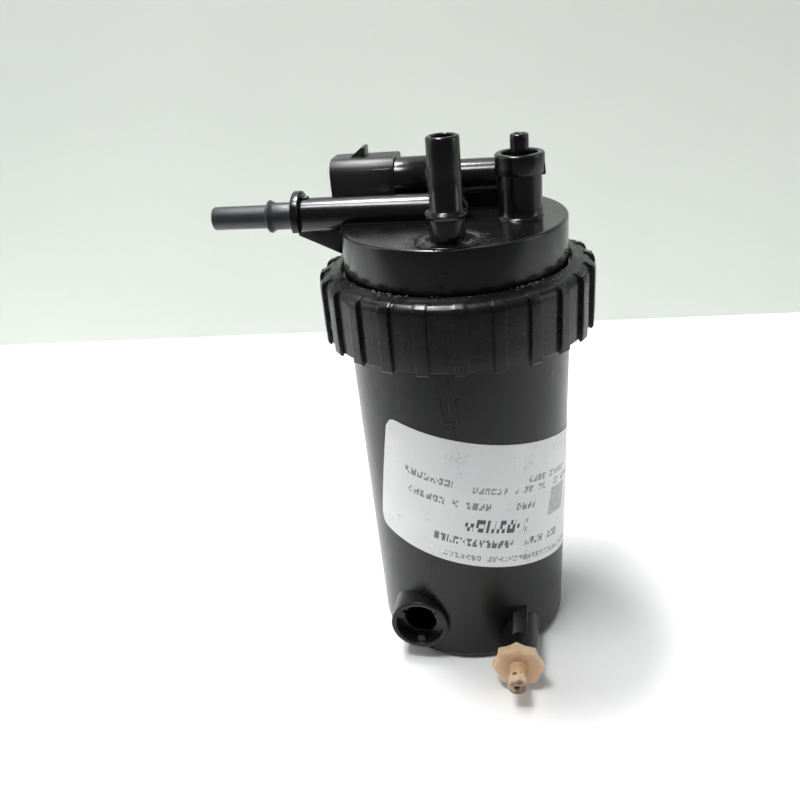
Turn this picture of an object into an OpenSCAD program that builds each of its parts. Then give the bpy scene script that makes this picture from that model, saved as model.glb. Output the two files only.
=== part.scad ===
// Upright diesel fuel filter: a moulded bowl with a water-sensor port and a drain
// screw, and a head with two quick-connect spigots, a fuel heater and a return
// valve. A ribbed screw ring holds the head on the bowl. A pleated element hangs
// inside. Origin: centre of the base face; +Z up; the side spigot points along -X
// and the sensor port and drain point along -Y. Millimetres.

/* [Bowl] */
// Outer radius of the bowl just under the screw ring
bowl_r_top = 38.2; // [34:0.1:46]
// How much smaller the outer radius is at the base
bowl_taper = 2.7; // [0.5:0.1:5]
// Height of the tapered part of the bowl
bowl_h = 125; // [100:1:160]
// Wall thickness of the bowl
bowl_wall = 2.5; // [1.8:0.1:3.2]
// Floor thickness of the bowl
floor_t = 3.2; // [2:0.1:5]
// Rounding at the foot of the bowl
foot_round = 3.2; // [1:0.1:3.6]
// Height of the threaded neck above the tapered part
neck_h = 13.5; // [12:0.5:20]
// How far the neck stands out from the bowl
neck_step = 1.5; // [0.8:0.1:3]
// Depth of the bowl's outer radius to the sealing bore
bore_inset = 2.2; // [2:0.1:3.5]

/* [Thread] */
// Rise of the ring for one full turn
thread_lead = 6; // [5:0.5:8]
// Radial depth of the thread
thread_depth = 1.9; // [1.2:0.1:2.4]
// Width of the thread at its crest
crest_w = 1.2; // [0.8:0.1:1.6]
// Width of the thread at its root
root_w = 2.6; // [2:0.1:3]
// Turns of thread on the bowl and in the ring
thread_turns = 1.2; // [1:0.05:1.4]
// Radial clearance between crest and root
thread_gap_r = 0.5; // [0.3:0.05:0.8]
// Axial clearance between the loaded flanks
thread_gap_z = 0.35; // [0.3:0.05:0.6]

/* [Screw ring] */
// Wall of the ring outside the thread root
ring_wall = 3; // [2:0.1:5]
// Height of the ring
ring_h = 22.3; // [20:0.1:26]
// Number of grip ribs
rib_count = 24; // [16:1:30]
// Width of one grip rib
rib_w = 4; // [2.5:0.1:5]
// Direction of the first rib round the ring, in degrees
rib_turn = -82.6; // [-90:0.1:-75]
// How far the ribs stand out
rib_h = 1.5; // [0.8:0.1:3]
// Rounding over the ring's top shoulder
ring_round = 3; // [1:0.1:4]
// Thickness of the lip that holds the head down
lip_t = 1.9; // [1.6:0.1:3]
// Fall of the ring's top face from its inner to its outer edge
ring_fall = 0.8; // [0:0.1:1.5]
// Gap between the lip and the head's wall
lip_gap = 1.1; // [0.6:0.1:2]

/* [Head] */
// How much smaller the head is than the bowl, on radius
head_inset = 0.8; // [0.4:0.1:2]
// Height from the bowl's rim to the head's top face
head_h = 21.1; // [19:0.1:30]
// Wall thickness of the head
head_wall = 2.8; // [2:0.1:3.4]
// Thickness of the head's top plate
head_top_t = 3.2; // [2.6:0.1:4]
// Thickness of the clamped flange
flange_t = 5; // [4:0.1:6]
// Depth of the plug that enters the bowl
plug_h = 8.5; // [7:0.1:11]
// Clearance between the plug and the bowl's bore
plug_gap = 0.4; // [0.3:0.05:0.8]
// Rounding at the head's top edge
head_round = 1.2; // [0.6:0.1:2]

/* [Side spigot] */
// Outer radius of the cross tube on the head
tube_r = 5.7; // [5:0.1:7]
// Height of the cross tube's axis above the head's top face
tube_rise = 2.4; // [2:0.1:5]
// How far the cross tube's flange is from the middle of the head
tube_reach = 53.4; // [48:0.1:70]
// How far the cross tube runs past the middle of the head
tube_past = 5.6; // [2:0.1:12]
// Radius of the tube's end flange
tube_flange_r = 8.1; // [7:0.1:10]
// Outer radius of the side spigot, a 7.89 mm quick-connect
side_r = 3.945; // [3:0.005:5]
// Reach of the side spigot's tip past the tube's flange
side_len = 29.4; // [24:0.1:40]
// Radius of the side spigot's retaining bead
side_bead_r = 5.5; // [4.8:0.1:7]
// Distance from the bead to the tube's flange
side_bead_gap = 8.7; // [6:0.1:12]

/* [Top spigot] */
// Sideways place of the top spigot
top_x = 1.6; // [-6:0.1:6]
// Distance of the top spigot in front of the head's middle
top_y = 27.8; // [24:0.1:29]
// Outer radius of the top spigot, a 9.89 mm quick-connect
top_r = 4.945; // [4:0.005:6]
// Height of the top spigot above the head's top face
top_len = 30.8; // [24:0.1:40]
// Radius of the raised pad under the top spigot
top_pad_r = 10.5; // [8:0.1:10.8]
// Radius of the top spigot's retaining bead
top_bead_r = 6.5; // [5.6:0.1:8]
// Height of the bead's middle above the head's top face
top_bead_z = 8.2; // [6:0.1:14]

/* [Return valve] */
// Sideways place of the valve boss
valve_x = 22; // [18:0.1:26]
// Outer radius of the valve boss
valve_r = 7.05; // [6.4:0.05:9]
// Wall of the valve boss
valve_wall = 1.85; // [1.2:0.05:2.4]
// Height of the valve boss above the head's top face
valve_h = 13.5; // [12:0.1:18]
// How far the cap stands out past the boss
cap_over = 0.9; // [0.4:0.1:2]
// Height of the cap
cap_h = 6.3; // [4:0.1:9]
// Outer radius of the return nozzle
nozzle_r = 2.95; // [2.4:0.05:3.6]
// Height of the return nozzle above the cap
nozzle_up = 5.6; // [4:0.1:12]
// Opening travel of the valve plunger
valve_travel = 1.5; // [0.5:0.1:2]

/* [Heater connector] */
// Distance of the connector's axis behind the head's middle
plug_y = 17; // [15:0.1:19]
// Height of the connector's axis above the head's top face
plug_z = 9.8; // [9.6:0.1:15]
// Width of the connector shell
shell_w = 18; // [16:0.1:20]
// Height of the connector shell
shell_hh = 16.5; // [14:0.1:18]
// Corner radius of the connector shell
shell_corner = 5; // [2:0.1:6]
// Wall of the connector shell
shell_wall = 1.6; // [1:0.1:2]
// Distance of the shell's mouth from the head's middle
shell_mouth = 42.4; // [40:0.1:50]
// Length of the shell
shell_len = 22; // [20:0.1:28]
// Depth of the shell's socket
socket_depth = 15.5; // [10:0.1:18]
// Outer radius of the heater barrel's wide end
barrel_r = 7.6; // [7:0.1:8]
// Outer radius of the heater barrel's slim end
barrel_slim_r = 5.9; // [5.6:0.1:6.5]

/* [Sensor port] */
// Sideways distance of the port's axis from the bowl's middle
port_x = 15.9; // [12:0.1:20]
// Height of the port's axis
port_z = 16.9; // [13:0.1:40]
// Outer radius of the port
port_r = 10.7; // [9:0.1:12]
// Distance of the port's face in front of the bowl's middle
port_face = 37.3; // [36:0.1:46]
// Radius of the port's wide mouth
port_mouth_r = 8.65; // [7:0.05:9]
// Depth of the wide mouth
port_mouth_d = 4.2; // [3:0.1:6]
// Radius of the inner bore
port_bore_r = 5.85; // [4:0.05:7]

/* [Drain] */
// Sideways distance of the drain's axis from the bowl's middle
drain_x = 20.6; // [16:0.1:24]
// Height of the drain's axis
drain_z = 10.8; // [10.2:0.1:30]
// Outer radius of the drain boss on the bowl
drain_boss_r = 6.6; // [5.5:0.1:8]
// Distance of the boss's face in front of the bowl's middle
drain_face = 44.4; // [40:0.1:50]
// Radius of the drain screw's stem
stem_r = 3; // [2.5:0.1:4]
// Radius over the lobes of the hand wheel
wheel_r = 9.3; // [7:0.1:9.5]
// Thickness of the hand wheel
wheel_t = 3.8; // [2.5:0.1:6]
// Number of lobes on the hand wheel
wheel_lobes = 8; // [5:1:12]
// Length of the outlet nozzle in front of the wheel
outlet_len = 9.2; // [8:0.1:16]
// Radius of the outlet nozzle's head
outlet_r = 3.1; // [2.6:0.1:4]
// Rise of the drain screw for one full turn
drain_lead = 1.5; // [1:0.25:2]

/* [Element] */
// Outer radius of the pleated element
element_r = 30.5; // [26:0.1:31.5]
// Height of the element's underside above the bowl's floor
element_lift = 18; // [12:0.5:40]
// Height from the element's top cap to the bowl's rim
element_drop = 16; // [12:0.5:30]
// Number of pleats
pleats = 36; // [24:1:48]
// Outer radius of the element's core
core_r = 9; // [7:0.1:10]

/* [Label] */
// Length of the paper label round the bowl
label_w = 90; // [60:1:110]
// Height of the paper label
label_h = 49; // [30:0.5:60]
// Height of the label's middle
label_z = 67.7; // [55:0.1:85]
// Direction of the label's middle round the bowl, in degrees
label_turn = -66; // [-120:1:-40]
// Corner radius of the label
label_corner = 4; // [1:0.5:8]
// Slant of the label, in degrees
label_slant = -13; // [-20:1:20]

/* [Hidden] */
$fn = 96;
e = 0.01;              // overlap of solids that are cut or joined
fit = 0.05;            // gap round a piece pressed or clipped into another
loose = 0.3;           // gap round a piece that turns or slides
bowl_r_base = bowl_r_top - bowl_taper;
rim_z = bowl_h + neck_h;
neck_r = bowl_r_top + neck_step;
bore_r = bowl_r_top - bore_inset;
thread_crest_r = neck_r + thread_depth;
ring_root_r = thread_crest_r + thread_gap_r;
ring_crest_r = neck_r + thread_gap_r;
ring_r = ring_root_r + ring_wall;
lip_z = rim_z + flange_t + 0.3;
ring_top = lip_z + lip_t;
ring_z = ring_top - ring_h;
head_r = bowl_r_top - head_inset;
flange_r = neck_r + 0.7;
plug_r = bore_r - plug_gap;
top_z = rim_z + head_h;
tube_z = top_z + tube_rise;
thread_z = rim_z - 2.2 - thread_turns * thread_lead;
ring_thread_z = thread_z - (crest_w + root_w) / 2 - thread_gap_z;
cap_z = top_z + valve_h;
chamber_r = valve_r - valve_wall;
chamber_z = top_z - 1.6;
axis_z = top_z + plug_z;
shell_back = shell_mouth - shell_len;
blade_depth = 6;       // from the shell's mouth to the tips of the blades
barrel_z = top_z + 9.6;
barrel_y = plug_y - 2;
barrel_bore_r = 4.4;
barrel_end = 14;
core_wall = 1.2;
element_top = rim_z - element_drop;
element_base = floor_t + element_lift;
cap_t = 2.4;
pipe_r = 6;
pipe_bore_r = 4.4;
wheel_y = drain_face + 1.5;
stem_bore_r = stem_r + loose;
seal_wire = 0.75;
main_wire = 1;         // wire radius of the bowl's main seal
main_seal_r = bore_r - 0.15 - main_wire;
main_seal_z = rim_z - plug_h + 3.8;
function bowl_r(z) = bowl_r_base + bowl_taper * z / bowl_h;

// ---------------------------------------------------------------- helpers
// One helical ridge: a four-sided section that climbs round the Z axis
module helix_ridge(r_a, r_b, w_a, w_b, z0, lead, turns, step = 10) {
    n = round(turns * 360 / step);
    section = [[r_a, -w_a / 2], [r_b, -w_b / 2], [r_b, w_b / 2], [r_a, w_a / 2]];
    points = [for (i = [0:n]) for (p = section)
        [p[0] * cos(i * step), p[0] * sin(i * step), z0 + p[1] + lead * i * step / 360]];
    sides = [for (i = [0:n - 1]) for (k = [0:3])
        let (a = 4 * i + k, b = 4 * i + (k + 1) % 4)
        each [[a, b + 4, b], [a, a + 4, b + 4]]];
    ends = [[0, 1, 2], [0, 2, 3], [4 * n, 4 * n + 2, 4 * n + 1], [4 * n, 4 * n + 3, 4 * n + 2]];
    flip = r_b > r_a;
    faces = concat(sides, ends);
    polyhedron(points, [for (f = faces) flip ? [f[0], f[2], f[1]] : f]);
}

// Round bar along -Y from depth y0 to y1, at sideways place x and height z
module bar_y(r, x, z, y0, y1) {
    translate([x, -y0, z]) rotate([90, 0, 0]) cylinder(r = r, h = y1 - y0);
}

// Round bar along X from x0 to x1
module bar_x(r, y, z, x0, x1) {
    translate([x0, y, z]) rotate([0, 90, 0]) cylinder(r = r, h = x1 - x0);
}

// Rectangle with round corners, built from squares and circles
module round_rect(w, h, r) {
    square([w - 2 * r, h], center = true);
    square([w, h - 2 * r], center = true);
    for (x = [-1, 1], y = [-1, 1])
        translate([x * (w / 2 - r), y * (h / 2 - r)]) circle(r);
}

// Round bar with rounded outer edge at its top, as a turned profile
module turned_pipe(r, bore, z0, z1, edge) {
    rotate_extrude() {
        translate([bore, z0]) square([r - bore, z1 - z0 - edge]);
        translate([bore + edge, z0]) square([r - bore - 2 * edge, z1 - z0]);
        for (x = [bore + edge, r - edge]) translate([x, z1 - edge]) circle(edge);
    }
}

// ---------------------------------------------------------------- bowl
module bowl_outer() {
    translate([bowl_r_base - foot_round, foot_round]) circle(foot_round);
    polygon([
        [0, 0], [bowl_r_base - foot_round, 0], [bowl_r_base, foot_round],
        [bowl_r(bowl_h), bowl_h], [neck_r, bowl_h + neck_step], [neck_r, rim_z - 0.6],
        [neck_r - 0.6, rim_z], [0, rim_z]
    ]);
}

module bowl_cavity() {
    step_z = bowl_h + neck_step;
    polygon([
        [0, floor_t], [bowl_r_base - bowl_wall - 2, floor_t],
        [bowl_r(floor_t + 2) - bowl_wall, floor_t + 2],
        [bowl_r(bowl_h) - bowl_wall, bowl_h - 2], [bore_r, step_z],
        [bore_r, rim_z - 1], [bore_r + 0.8, rim_z + e], [0, rim_z + e]
    ]);
}

// Low shoulder under the ring, over a short stretch of the front
module step_band() {
    low = bowl_h - 8.2;
    rotate([0, 0, -88]) rotate_extrude(angle = 30) polygon([
        [bowl_r(low) - 1, low], [bowl_r(low) + 0.45, low],
        [bowl_r(bowl_h) + 0.45, bowl_h], [bowl_r(bowl_h) - 1, bowl_h]
    ]);
}

// Frame mark, a bar and two short dashes that show where the head's arrow closes
module closing_mark() {
    y = bowl_r(bowl_h - 16) + 0.35;
    low = bowl_h - 22.6;
    for (x = [-2.4, 2.4]) translate([x - 0.35, -y, low]) cube([0.7, 2, 9]);
    translate([-2.4, -y, low]) cube([4.8, 2, 0.7]);
    translate([-0.35, -y, low + 11]) cube([0.7, 2, 9]);
    for (x = [-1.9, 0.7]) translate([x, -y, low - 3]) cube([1.2, 2, 0.6]);
}

module drain_boss() {
    bar_y(drain_boss_r, drain_x, drain_z, bowl_r_base / 2, drain_face);
    translate([drain_x, 0, drain_z]) rotate([90, 0, 90]) translate([0, 0, -drain_boss_r * 0.45])
        linear_extrude(drain_boss_r * 0.9) polygon([
            [-bowl_r_base / 2, 0], [-drain_face + 1.5, 0],
            [-drain_face + 1.5, drain_boss_r * 0.6], [-bowl_r_base / 2, drain_boss_r * 3]
        ]);
}

module bowl() {
    color("#1b1b1c") {
        difference() {
            union() {
                rotate_extrude() bowl_outer();
                bar_y(port_r, -port_x, port_z, bowl_r_base / 2, port_face);
                drain_boss();
                step_band();
                closing_mark();
            }
            rotate_extrude() bowl_cavity();
            bar_y(port_mouth_r, -port_x, port_z, port_face - port_mouth_d, port_face + 1);
            bar_y(port_bore_r, -port_x, port_z, bowl_r_base / 3, port_face);
            bar_y(stem_bore_r, drain_x, drain_z, bowl_r_base / 3, drain_face + 1);
        }
        helix_ridge(neck_r - 0.4, thread_crest_r, root_w + 0.6, crest_w,
            thread_z, thread_lead, thread_turns);
    }
}

// Paper label: a thin curved sheet that follows the taper
module label() {
    nu = 36;
    nv = 6;
    skin = [0.07, 0.2];
    // Half height at u, less where the corners are rounded off
    function half(u) =
        let (t = max(0, (abs(u) - label_w / 2 + label_corner) / label_corner))
        label_h / 2 - label_corner * (1 - sqrt(max(0, 1 - t * t)));
    function place(i, j, k) =
        let (s = 2 * i / nu - 1, u = label_w / 2 * sin(90 * s) * (1 - 0.35 * cos(90 * s)),
            v = (2 * j / nv - 1) * half(u),
            z = label_z + u * sin(label_slant) + v * cos(label_slant),
            r = bowl_r(z) + skin[k],
            a = label_turn + (u * cos(label_slant) - v * sin(label_slant))
                * 180 / PI / bowl_r(label_z))
        [r * cos(a), r * sin(a), z];
    row = nv + 1;
    sheet = (nu + 1) * row;
    points = [for (k = [0, 1]) for (i = [0:nu]) for (j = [0:nv]) place(i, j, k)];
    function quad(a, b, c, d) = [[a, b, c], [a, c, d]];
    outer = [for (i = [0:nu - 1]) for (j = [0:nv - 1])
        let (a = sheet + i * row + j) each quad(a, a + 1, a + row + 1, a + row)];
    inner = [for (i = [0:nu - 1]) for (j = [0:nv - 1])
        let (a = i * row + j) each quad(a, a + row, a + row + 1, a + 1)];
    low = [for (i = [0:nu - 1]) let (a = i * row)
        each quad(a, a + sheet, a + row + sheet, a + row)];
    high = [for (i = [0:nu - 1]) let (a = i * row + nv)
        each quad(a, a + row, a + row + sheet, a + sheet)];
    left = [for (j = [0:nv - 1]) each quad(j, j + 1, j + 1 + sheet, j + sheet)];
    right = [for (j = [0:nv - 1]) let (a = nu * row + j)
        each quad(a, a + sheet, a + 1 + sheet, a + 1)];
    color("#e9e9e6") polyhedron(points, concat(outer, inner, low, high, left, right));
}

// ---------------------------------------------------------------- drain
module drain_seal() {
    color("#2a2a2a") translate([drain_x, -drain_face + 6, drain_z]) rotate([90, 0, 0])
        rotate_extrude() translate([stem_r - seal_wire + 0.2, 0]) circle(seal_wire);
}

module wheel_outline() {
    scallop = wheel_r * 0.3;
    difference() {
        circle(wheel_r);
        for (i = [0:wheel_lobes - 1]) rotate(22.5 + i * 360 / wheel_lobes)
            translate([wheel_r + scallop * 0.45, 0]) circle(scallop);
    }
}

module drain_screw() {
    tip = wheel_y + wheel_t + outlet_len;
    groove_r = stem_r + 0.2 - 2 * seal_wire - fit;
    color("#cfae86") difference() {
        union() {
            bar_y(stem_r, drain_x, drain_z, drain_face - 16, wheel_y + e);
            translate([drain_x, -wheel_y, drain_z]) rotate([90, 0, 0])
                linear_extrude(wheel_t) wheel_outline();
            bar_y(outlet_r * 0.86, drain_x, drain_z, wheel_y, tip - e);
            bar_y(outlet_r, drain_x, drain_z, tip - 4.6, tip);
        }
        difference() {
            bar_y(stem_r + 1, drain_x, drain_z, drain_face - 6 - seal_wire - 0.1,
                drain_face - 6 + seal_wire + 0.1);
            bar_y(groove_r, drain_x, drain_z, drain_face - 8, drain_face - 4);
        }
        bar_y(stem_r * 0.35, drain_x, drain_z, drain_face - 17, tip - 1.6);
        translate([drain_x - 10, -tip + 5.6, drain_z]) rotate([0, 90, 0]) cylinder(r = 0.8, h = 20);
    }
}

// ---------------------------------------------------------------- head
module head_outer() {
    skirt = rim_z - plug_h;
    translate([head_r - head_round, top_z - head_round]) circle(head_round);
    polygon([
        [0, skirt], [plug_r - 0.6, skirt], [plug_r, skirt + 0.6], [plug_r, rim_z],
        [flange_r, rim_z], [flange_r, rim_z + flange_t - 0.4],
        [flange_r - 0.4, rim_z + flange_t], [head_r, rim_z + flange_t],
        [head_r, top_z - head_round], [head_r - head_round, top_z], [0, top_z]
    ]);
}

module head_cavity() {
    skirt = rim_z - plug_h;
    inner = min(head_r, plug_r) - head_wall;
    difference() {
        polygon([
            [0, skirt - e], [inner, skirt - e],
            [inner, top_z - head_top_t - 1.5], [inner - 1.5, top_z - head_top_t],
            [0, top_z - head_top_t]
        ]);
        translate([0, top_z - head_top_t - 4]) square([pipe_r + 1.6, 5]);
    }
}

// Groove for the main seal in the plug
module seal_groove() {
    high = 2 * main_wire + 0.4;
    rotate_extrude() translate([main_seal_r - main_wire - fit, main_seal_z - high / 2])
        square([4, high]);
}

module gusset() {
    low = tube_z - tube_r - 1;
    translate([0, 1.3, 0]) rotate([90, 0, 0]) linear_extrude(2.6) polygon([
        [-tube_reach + 0.2, low], [-tube_reach + 0.2, tube_z],
        [-head_r + 1.5, tube_z], [-head_r + 1.5, rim_z + flange_t + 3.6]
    ]);
}

// D-shaped flange on the end of the cross tube
module tube_flange() {
    intersection() {
        bar_x(tube_flange_r, 0, tube_z, -tube_reach, -tube_reach + 2.6);
        translate([-tube_reach - 1, -10, tube_z - 3.4]) cube([5, 20, 20]);
    }
}

// Three-sided arrow, point down, on the head's front wall
module arrow_mark() {
    low = rim_z + flange_t + 4.2;
    translate([0, -head_r - 0.35, low]) rotate([-90, 0, 0]) linear_extrude(2) difference() {
        polygon([[0, 0], [-1.7, -4.6], [1.7, -4.6]]);
        polygon([[0, -1.3], [-1, -4], [1, -4]]);
    }
}

module head() {
    color("#141415") difference() {
        union() {
            rotate_extrude() head_outer();
            bar_x(tube_r, 0, tube_z, -tube_reach, tube_past - tube_r);
            translate([tube_past - tube_r, 0, tube_z]) sphere(tube_r);
            tube_flange();
            gusset();
            translate([-tube_reach + 2.5, -1.2, tube_z]) cube([3.4, 2.4, tube_r + 0.6]);
            translate([valve_x, 0, chamber_z - 1]) cylinder(r = valve_r, h = valve_h + 2.6);
            translate([top_x, -top_y + 1.2, top_z - 1]) cylinder(r = top_pad_r, h = 1.5);
            arrow_mark();
        }
        rotate_extrude() head_cavity();
        seal_groove();
        translate([0, 0, top_z - head_top_t - 4 - e])
            cylinder(r = pipe_r + fit, h = 4);
        bar_x(tube_r - 2.2, 0, tube_z, -tube_reach + 9, 0);
        bar_x(side_r + 0.4, 0, tube_z, -tube_reach - 1, -tube_reach + 9.1);
        translate([0, 0, top_z - head_top_t - 1]) cylinder(r = 2.6, h = head_top_t + tube_rise);
        translate([top_x, -top_y, top_z - 2.4]) cylinder(r = top_r + 0.6, h = 4);
        translate([top_x, -top_y, top_z - head_top_t - 1]) cylinder(r = top_r - 1.5, h = 4);
        translate([valve_x, 0, chamber_z]) cylinder(r = chamber_r, h = valve_h + 4);
        translate([valve_x, 0, chamber_z - 3]) cylinder(r = 1.6, h = 4);
    }
}

module head_seal() {
    color("#232323") translate([0, 0, main_seal_z]) rotate_extrude()
        translate([main_seal_r, 0]) circle(main_wire);
}

// ---------------------------------------------------------------- screw ring
module ring_profile(grow) {
    edge = min(ring_round, ring_wall);
    r = ring_r + grow;
    shoulder = ring_top - ring_fall;
    difference() {
        union() {
            translate([r - edge, shoulder - edge]) circle(edge);
            polygon([
                [ring_root_r, ring_z], [r, ring_z], [r, shoulder - edge], [r - edge, shoulder],
                [head_r + lip_gap, ring_top], [head_r + lip_gap, lip_z], [ring_root_r, lip_z]
            ]);
        }
        translate([0, ring_z - 1]) square([ring_root_r, lip_z - ring_z + 1]);
    }
}

module lock_ring() {
    color("#161617") {
        rotate_extrude() {
            ring_profile(0);
            translate([head_r + lip_gap, lip_z]) square([1.6, lip_t + 0.5]);
        }
        intersection() {
            rotate_extrude() difference() {
                translate([0, 0.4]) ring_profile(rib_h);
                square([ring_r - ring_round - 0.6, ring_top + 9]);
            }
            for (i = [0:rib_count - 1]) rotate([0, 0, rib_turn + i * 360 / rib_count])
                translate([ring_r - ring_round - 1, -rib_w / 2, ring_z])
                    cube([rib_h + ring_round + 4, rib_w, ring_h + 6]);
        }
        helix_ridge(ring_root_r + 0.4, ring_crest_r, root_w + 0.6, crest_w,
            ring_thread_z, thread_lead, thread_turns);
    }
}

// ---------------------------------------------------------------- spigots
module side_spigot() {
    tip = -tube_reach - side_len;
    bead = -tube_reach - side_bead_gap;
    color("#2b2c2e") difference() {
        union() {
            bar_x(side_r, 0, tube_z, tip + 1, -tube_reach + 8.8);
            translate([tip + 1, 0, tube_z]) rotate([0, -90, 0]) cylinder(r1 = side_r, r2 = side_r - 0.7, h = 1);
            bar_x(side_bead_r, 0, tube_z, bead - 1.2, bead + 0.6);
            translate([bead + 0.6, 0, tube_z]) rotate([0, 90, 0])
                cylinder(r1 = side_bead_r, r2 = side_r + 0.6, h = 1);
            bar_x(side_r + 0.6, 0, tube_z, bead, -tube_reach - 0.02);
        }
        bar_x(side_r - 1.3, 0, tube_z, tip - 1, -tube_reach + 9);
        translate([-tube_reach + 4, 0, tube_z]) rotate([0, 90, 0]) difference() {
            cylinder(r = side_r + 1, h = 2);
            translate([0, 0, -1]) cylinder(r = side_r - 0.6, h = 4);
        }
    }
}

module side_spigot_seal() {
    color("#232323") translate([-tube_reach + 5, 0, tube_z]) rotate([0, 90, 0])
        rotate_extrude() translate([side_r - 0.12, 0]) circle(0.44);
}

module top_spigot() {
    color("#19191a") translate([top_x, -top_y, 0]) {
        turned_pipe(top_r, top_r - 1.5, top_z - 2.35, top_z + top_len, 0.7);
        translate([0, 0, top_z + top_bead_z - 1]) rotate_extrude() difference() {
            union() {
                square([top_bead_r - 0.5, 2.4]);
                translate([0, 0.6]) square([top_bead_r, 1.2]);
            }
            square([top_r - 1, 9], center = true);
        }
        translate([0, 0, top_z]) rotate_extrude() difference() {
            translate([0, 0.5]) square([top_r + 0.7, top_bead_z - 1.5]);
            square([top_r - 1, 30], center = true);
        }
    }
}

// ---------------------------------------------------------------- return valve
module valve_seat() {
    color("#b9bcc0") translate([valve_x, 0, chamber_z]) difference() {
        cylinder(r = chamber_r - fit, h = 2.4);
        translate([0, 0, -1]) cylinder(r = 1.6, h = 5);
        translate([0, 0, 1.6]) cylinder(r1 = 1.6, r2 = 2.4, h = 0.81);
    }
}

module valve_plunger() {
    color("#c9c4b4") translate([valve_x, 0, chamber_z + 2.45]) {
        cylinder(r = chamber_r - 1.6, h = 2);
        cylinder(r = 1.2, h = 8.4);
    }
}

// Return spring: a helical wire between the plunger and the nozzle
module valve_spring() {
    turns = 5;
    wire = 0.35;
    r = chamber_r - 2.4;
    low = chamber_z + 4.5 + wire;
    rise = cap_z - low - wire - 0.1;
    per_turn = 20;
    n = turns * per_turn;
    sides = 8;
    points = [for (i = [0:n]) for (k = [0:sides - 1])
        let (a = i * 360 / per_turn, b = k * 360 / sides, w = r + wire * cos(b))
        [w * cos(a), w * sin(a), low + rise * i / n + wire * sin(b)]];
    walls = [for (i = [0:n - 1]) for (k = [0:sides - 1])
        let (a = sides * i + k, b = sides * i + (k + 1) % sides)
        each [[a, b + sides, b], [a, a + sides, b + sides]]];
    start = [for (k = [1:sides - 2]) [0, k, k + 1]];
    end = [for (k = [1:sides - 2]) [sides * n, sides * n + k + 1, sides * n + k]];
    color("#9a9da1") translate([valve_x, 0, 0])
        polyhedron(points, [for (f = concat(walls, start, end)) [f[0], f[2], f[1]]]);
}

module return_nozzle() {
    top = cap_z + cap_h + nozzle_up;
    color("#1a1a1b") translate([valve_x, 0, 0]) difference() {
        union() {
            translate([0, 0, cap_z]) cylinder(r = chamber_r + 0.4, h = 1.8);
            turned_pipe(nozzle_r, 1.4, cap_z + 1, top, 0.5);
        }
        translate([0, 0, cap_z - 1]) cylinder(r = 1.4, h = cap_h + nozzle_up + 5);
    }
}

module valve_cap() {
    r = valve_r + cap_over;
    color("#121213") translate([valve_x, 0, cap_z]) difference() {
        union() {
            rotate_extrude() {
                square([r, cap_h - 1.2]);
                square([r - 1.2, cap_h]);
                translate([r - 1.2, cap_h - 1.2]) circle(1.2);
            }
            translate([r - 1.5, -2, -3.6]) cube([1.8, 4, cap_h + 2]);
        }
        translate([0, 0, -e]) cylinder(r = chamber_r + 0.4 + fit, h = cap_h + 1);
        translate([0, 0, 1.85]) cylinder(r = r - 2.2, h = cap_h);
        translate([0, 0, -6]) cylinder(r = valve_r + fit, h = 6);
        for (i = [0:7]) rotate([0, 0, 22.5 + 45 * i]) translate([r - 0.45, -1.1, 2]) cube([2, 2.2, 9]);
    }
}

// ---------------------------------------------------------------- heater
module heater_housing() {
    inner = -shell_back;
    color("#171718") difference() {
        union() {
            bar_x(barrel_r, barrel_y, barrel_z, inner, inner + 11);
            bar_x(barrel_slim_r, barrel_y, barrel_z, inner + 10, barrel_end);
            translate([inner, barrel_y - 5, top_z]) cube([8, 10, barrel_z - top_z]);
            translate([inner + 14, barrel_y - 3.5, top_z]) cube([barrel_end - inner - 16, 7, barrel_z - top_z]);
            translate([inner + 12, barrel_y - 1, barrel_z]) cube([1.6, 2, barrel_r - 0.4]);
            translate([2, barrel_y + 2, top_z]) cube([4.4, 7.6, barrel_z - top_z + 3.4]);
        }
        bar_x(barrel_bore_r, barrel_y, barrel_z, inner + 2.5, barrel_end + 1);
        for (s = [-1, 1]) translate([inner - 1, plug_y + s * 3.2 - 0.45, axis_z - 3.1])
            cube([5, 0.9, 2.2]);
    }
}

module connector_shell() {
    lock_x = -shell_mouth + 10.4;
    color("#161617") difference() {
        union() {
            translate([-shell_mouth, plug_y, axis_z]) rotate([90, 0, 90])
                linear_extrude(shell_len) round_rect(shell_w, shell_hh, shell_corner);
            translate([lock_x, plug_y + 3, axis_z + shell_hh / 2]) rotate([90, 0, 0])
                linear_extrude(6) polygon([[-4, -0.5], [-4, 0], [0, 3.1], [1.2, 3.1], [1.2, -0.5]]);
            for (s = [-1, 1]) translate([-shell_back - 7, plug_y + s * (shell_w / 2 - 0.3) - 0.6, axis_z - 5])
                cube([6, 1.2, 10]);
            translate([-shell_back - 8, plug_y - 5, top_z]) cube([8, 10, plug_z - shell_hh / 2 + 1]);
        }
        translate([-shell_mouth - 1, plug_y, axis_z]) rotate([90, 0, 90])
            linear_extrude(socket_depth + 1) round_rect(shell_w - 2 * shell_wall,
                shell_hh - 2 * shell_wall, shell_corner - shell_wall);
        for (s = [-1, 1]) translate([-shell_mouth, plug_y + s * 3.2 - 0.45, axis_z - 3.1])
            cube([shell_len + 1, 0.9, 2.2]);
    }
}

module connector_seal() {
    color("#8a3b1e") translate([-shell_mouth + socket_depth - 1.2, plug_y, axis_z])
        rotate([90, 0, 90]) linear_extrude(1.15) difference() {
            round_rect(shell_w - 2 * shell_wall - 0.2, shell_hh - 2 * shell_wall - 0.2,
                shell_corner - shell_wall - 0.1);
            square([9, 7], center = true);
        }
}

module terminal_pins() {
    color("#c8c9c4") for (s = [-1, 1])
        translate([-shell_mouth + blade_depth, plug_y + s * 3.2 - 0.4, axis_z - 3.05])
            cube([shell_len - blade_depth + 2.7, 0.8, 2.1]);
}

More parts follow.
